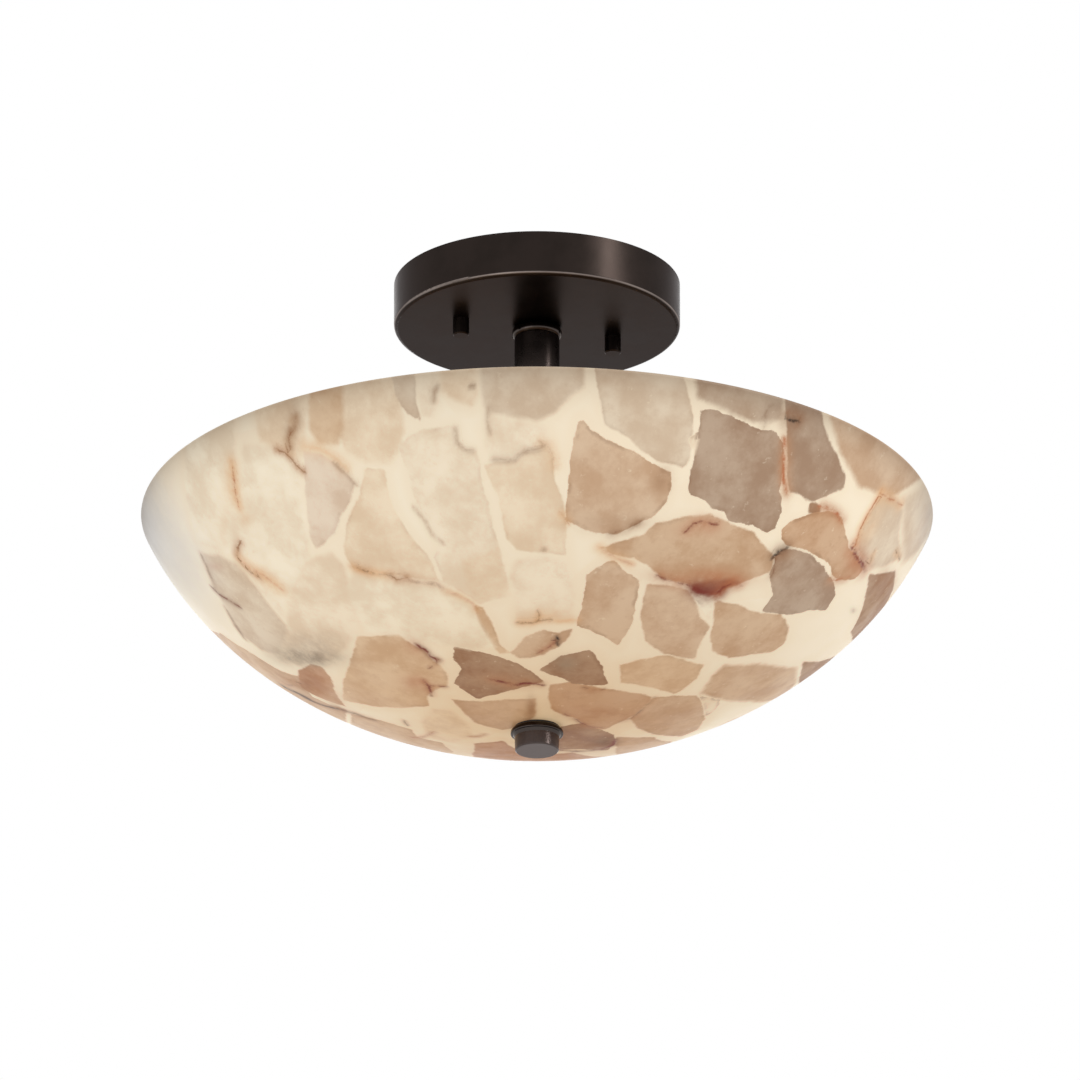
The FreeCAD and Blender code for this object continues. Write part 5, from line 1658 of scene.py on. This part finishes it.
        # Painted shade, greyer towards the rim.
        self.store_value("dim", np.exp(-np.maximum(rim - radius, 0.0) / self.rim_shade_depth))
        # Painted shade, darker and warmer towards the bottom.
        self.store_value("painted_bottom_shade", self.bottom_shade_share * np.exp(-(radius / self.bottom_shade_radius) ** 2))
        self.veins(edge, cracks)


ZINC = {"colour": from_screen(178, 180, 178), "stain": from_screen(150, 149, 142)}
LAMP_THREAD = {"pitch": 3.63 * MM, "axis": 0}
THREADED_ZINC = BareMetal("threaded_zinc", **ZINC, pitch=0.94 * MM)
# Glossier bronze for the finial ring and the collar; its lighter colour is painted light that brightens their
# highlights.
GLOSSY_BRONZE = PaintedMetal(
    "glossy_bronze", colour=from_screen(48, 42, 40), edge_tint=(0.85, 0.82, 0.8, 1.0), roughness=0.13,
    grain=0.002, lip_highlight_amount=0.2)

BY_SLOT = {
    "bronze": PaintedMetal("satin_bronze"),
    "bronze_brushed": PaintedMetal(
        "brushed_bronze", colour=from_screen(72, 64, 62), patch=from_screen(80, 71, 68),
        edge_tint=(0.95, 0.91, 0.9, 1.0), roughness=0.24, turned=0.03),
    "zinc_steel": BareMetal("zinc_plate", **ZINC),
    "plain_steel": BareMetal(
        "plain_steel", colour=from_screen(168, 168, 167), stain=from_screen(142, 140, 136)),
    "ground_green": Moulded(
        "green_enamel", colour=from_screen(46, 122, 62), patch=from_screen(38, 104, 54), roughness=0.35),
    "porcelain": Moulded("glazed_porcelain", roughness=0.16, coat=0.4),
    "shell_metal": BareMetal("shell_metal", colour=from_screen(214, 212, 206), roughness=0.28, **LAMP_THREAD),
    "contact_brass": BareMetal(
        "contact_brass", colour=from_screen(214, 178, 104), stain=from_screen(176, 140, 80)),
    "frosted_glass": FrostedGlass("frosted_glass"),
    "lamp_base_metal": BareMetal(
        "lamp_base_metal", colour=from_screen(216, 216, 214), roughness=0.22, **LAMP_THREAD),
    "lamp_black_glass": Moulded(
        "black_glass", colour=from_screen(26, 26, 30), patch=from_screen(34, 34, 38), roughness=0.12),
    "solder": BareMetal("solder", colour=from_screen(190, 190, 188), roughness=0.42),
    "lead_black": Moulded("black_covering", colour=from_screen(30, 30, 30), patch=from_screen(40, 40, 40),
                          roughness=0.55, grain=0.06),
    "lead_white": Moulded("white_covering", colour=from_screen(232, 229, 221),
                          patch=from_screen(214, 210, 200), roughness=0.55, grain=0.06),
    "connector_orange": Moulded("orange_plastic", colour=from_screen(222, 122, 44),
                                patch=from_screen(206, 106, 36), roughness=0.42, grain=0.05),
    "rubber_black": Moulded("black_rubber", colour=from_screen(34, 34, 34), patch=from_screen(46, 45, 44),
                            roughness=0.7, grain=0.1),
    "stone_resin": StoneResin("stone_resin"),
}

BY_NODE = {
    "canopy_studs": THREADED_ZINC,
    "upper_pipe": THREADED_ZINC,
    "lower_pipe": THREADED_ZINC,
    "centre_rod": THREADED_ZINC,
    "finial_ring": GLOSSY_BRONZE,
    "stem_collar": GLOSSY_BRONZE,
    # A lighter copy of the satin bronze: painted light that makes up for the dark surroundings the stem
    # reflects.
    "stem": PaintedMetal("stem_bronze_painted_lighter", colour=from_screen(58, 51, 48), patch=from_screen(63, 55, 52),
                         roughness=0.27),
}


class Finishes:
    """The materials of the light, by the record's slot, with a few for single nodes."""

    def __init__(self, effects: Effects) -> None:
        """Builds each finish once.

        Args:
            effects: the shared node groups.
        """
        used = dict.fromkeys((*BY_SLOT.values(), *BY_NODE.values()))
        made = {finish: finish.material(effects) for finish in used}
        self.by_slot, self.by_node = ({key: made[finish] for key, finish in table.items()}
                                      for table in (BY_SLOT, BY_NODE))


@dataclass
class SolidGroup:
    """Some of the frame's solids that belong together and keep their shape."""

    name: str
    nodes: tuple[str, ...]

    def dress(self, finishes: Finishes, slots: dict[str, str]) -> None:
        """Puts each solid's finish on it.

        Args:
            finishes: the materials.
            slots: the record's slot of each node.
        """
        for node in self.nodes:
            finish = finishes.by_node.get(node) or finishes.by_slot[slots[node]]
            solid = frame["nodes"][node]
            solid.data.materials.clear()
            solid.data.materials.append(finish)
            LOG.info("%s: %s dressed in %s", self.name, node, finish.name)


def both_sides(*names: str) -> tuple[str, ...]:
    """The left and right node names of pieces that come in pairs."""
    return tuple(f"{name}_{side}" for name in names for side in ("left", "right"))


GROUPS = (
    SolidGroup("ceiling bracket", (
        "ceiling_bar", "stud_bar", "bar_rivet", "ground_screw", "canopy_studs", "stud_lock_nuts")),
    SolidGroup("canopy", (
        "canopy", "upper_pipe", "upper_pipe_washer", "upper_pipe_nut", "stem_collar",
        *both_sides("thumb_nut"))),
    SolidGroup("stem and hub", (
        "stem", "lower_pipe", "lower_pipe_nut", "hub_housing", "hub_cap", "hub_cap_screws", "arm_pipes",
        "centre_rod", "rod_nut")),
    SolidGroup("lamps", both_sides(
        "lampholder", "screw_shell", "centre_contact", "lamp_glass", "lamp_base", "lamp_insulator",
        "lamp_tip")),
    SolidGroup("leads", (
        *both_sides("lead_black", "lead_white"), "wire_connector_black", "wire_connector_white")),
    SolidGroup("bowl fittings", (
        "bowl_gasket", "bowl_washer", "finial_gasket", "finial_ring", "finial_knob")),
)


@dataclass(frozen=True)
class SoftLamp:
    """A rectangular lamp that looks at the light: its place in metres, width, height and watts."""

    name: str
    place: tuple[float, float, float]
    width: float
    height: float
    power: float
    aim: tuple[float, float, float] = (0.0, 0.0, -0.12)

    def build(self) -> bpy.types.Object:
        """Adds the lamp.

        Returns:
            The lamp.
        """
        data = bpy.data.lights.new(self.name, "AREA")
        data.shape = "RECTANGLE"
        data.size, data.size_y, data.energy = self.width, self.height, self.power
        back = np.array(self.place) - np.array(self.aim)
        back /= np.linalg.norm(back)
        right = np.cross((0.0, 0.0, 1.0), back)
        right /= np.linalg.norm(right)
        return add_object(self.name, data, np.array([right, np.cross(back, right), back, self.place]))


@dataclass
class Studio:
    """A pale floor far below the light, soft lamps and a white surrounding."""

    floor_height: float = -3.3
    floor_side: float = 24.0
    floor_lines: int = 15
    floor_glow: float = 0.5
    ambient: float = 0.5
    lamps: tuple[SoftLamp, ...] = (
        SoftLamp("key_lamp", (1.87, -2.04, 1.04), 0.45, 1.4, 31.0),
        SoftLamp("fill_lamp", (-2.4, -1.6, -0.8), 2.0, 2.0, 9.0),
        SoftLamp("back_lamp", (0.6, 2.6, 0.9), 1.6, 1.6, 7.0),
    )

    def floor(self) -> bpy.types.Object:
        """Builds the floor: a level square grid, nearly white to camera, metal and glass, clear from below.

        Returns:
            The floor.
        """
        steps = np.linspace(-self.floor_side / 2, self.floor_side / 2, self.floor_lines)
        down, across = np.meshgrid(steps, steps, indexing="ij")
        points = np.stack([across, down, np.full_like(across, self.floor_height)], -1)
        mesh = grid_mesh("floor", points, closed=False)
        made = add_object("floor", mesh)
        paint = bpy.data.materials.new("pale_floor")
        wires = Wiring.of(paint)
        place = wires.node("ShaderNodeTexCoord").outputs["Object"]
        patch = wires.ease(wires.noise(place, 1.6, 4.0), 0.3, 0.7)
        shader = wires.node("ShaderNodeBsdfPrincipled", {
            "Base Color": wires.mix(patch, from_screen(246, 246, 246), from_screen(240, 240, 239)),
            "Roughness": 0.85, "Emission Color": WHITE,
            "Emission Strength": wires.math("MULTIPLY", wires.direct_rays(), self.floor_glow)})
        below = wires.node("ShaderNodeNewGeometry").outputs["Backfacing"]
        clear = wires.node("ShaderNodeBsdfTransparent")
        surface = wires.node("ShaderNodeMixShader", {0: below, 1: shader.outputs[0], 2: clear.outputs[0]})
        wires.node("ShaderNodeOutputMaterial", {"Surface": surface.outputs[0]})
        mesh.materials.append(paint)
        return made

    def world(self) -> None:
        """Sets the surrounding: white to camera, glossy and transmission rays, plain light to the rest."""
        world = bpy.data.worlds.new("studio")
        bpy.context.scene.world = world
        wires = Wiring.of(world)
        strength = wires.ease(wires.direct_rays(), 0.0, 1.0, self.ambient, 1.0)
        back = wires.node("ShaderNodeBackground", {"Color": WHITE, "Strength": strength})
        wires.node("ShaderNodeOutputWorld", {"Surface": back.outputs[0]})

    def build(self) -> None:
        """Builds floor, surrounding and lamps."""
        self.floor()
        self.world()
        for lamp in self.lamps:
            lamp.build()
        bpy.context.scene.view_settings.view_transform = "Standard"


def main() -> None:
    """Builds camera, finishes, bowl, dressed solids and studio in order."""
    logging.basicConfig(level=logging.INFO, format="%(message)s")
    camera = PhotoCamera()
    camera.build()
    finishes = Finishes(Effects())
    slots = {part["node"]: part["material_slot"] for part in frame["record"]["subparts"]}
    bowl = BowlShade(camera=camera).build(finishes.by_slot["stone_resin"])
    LOG.info("bowl: %d faces", len(bowl.data.polygons))
    for group in GROUPS:
        group.dress(finishes, slots)
    Studio().build()


if __name__ == "__main__":
    main()
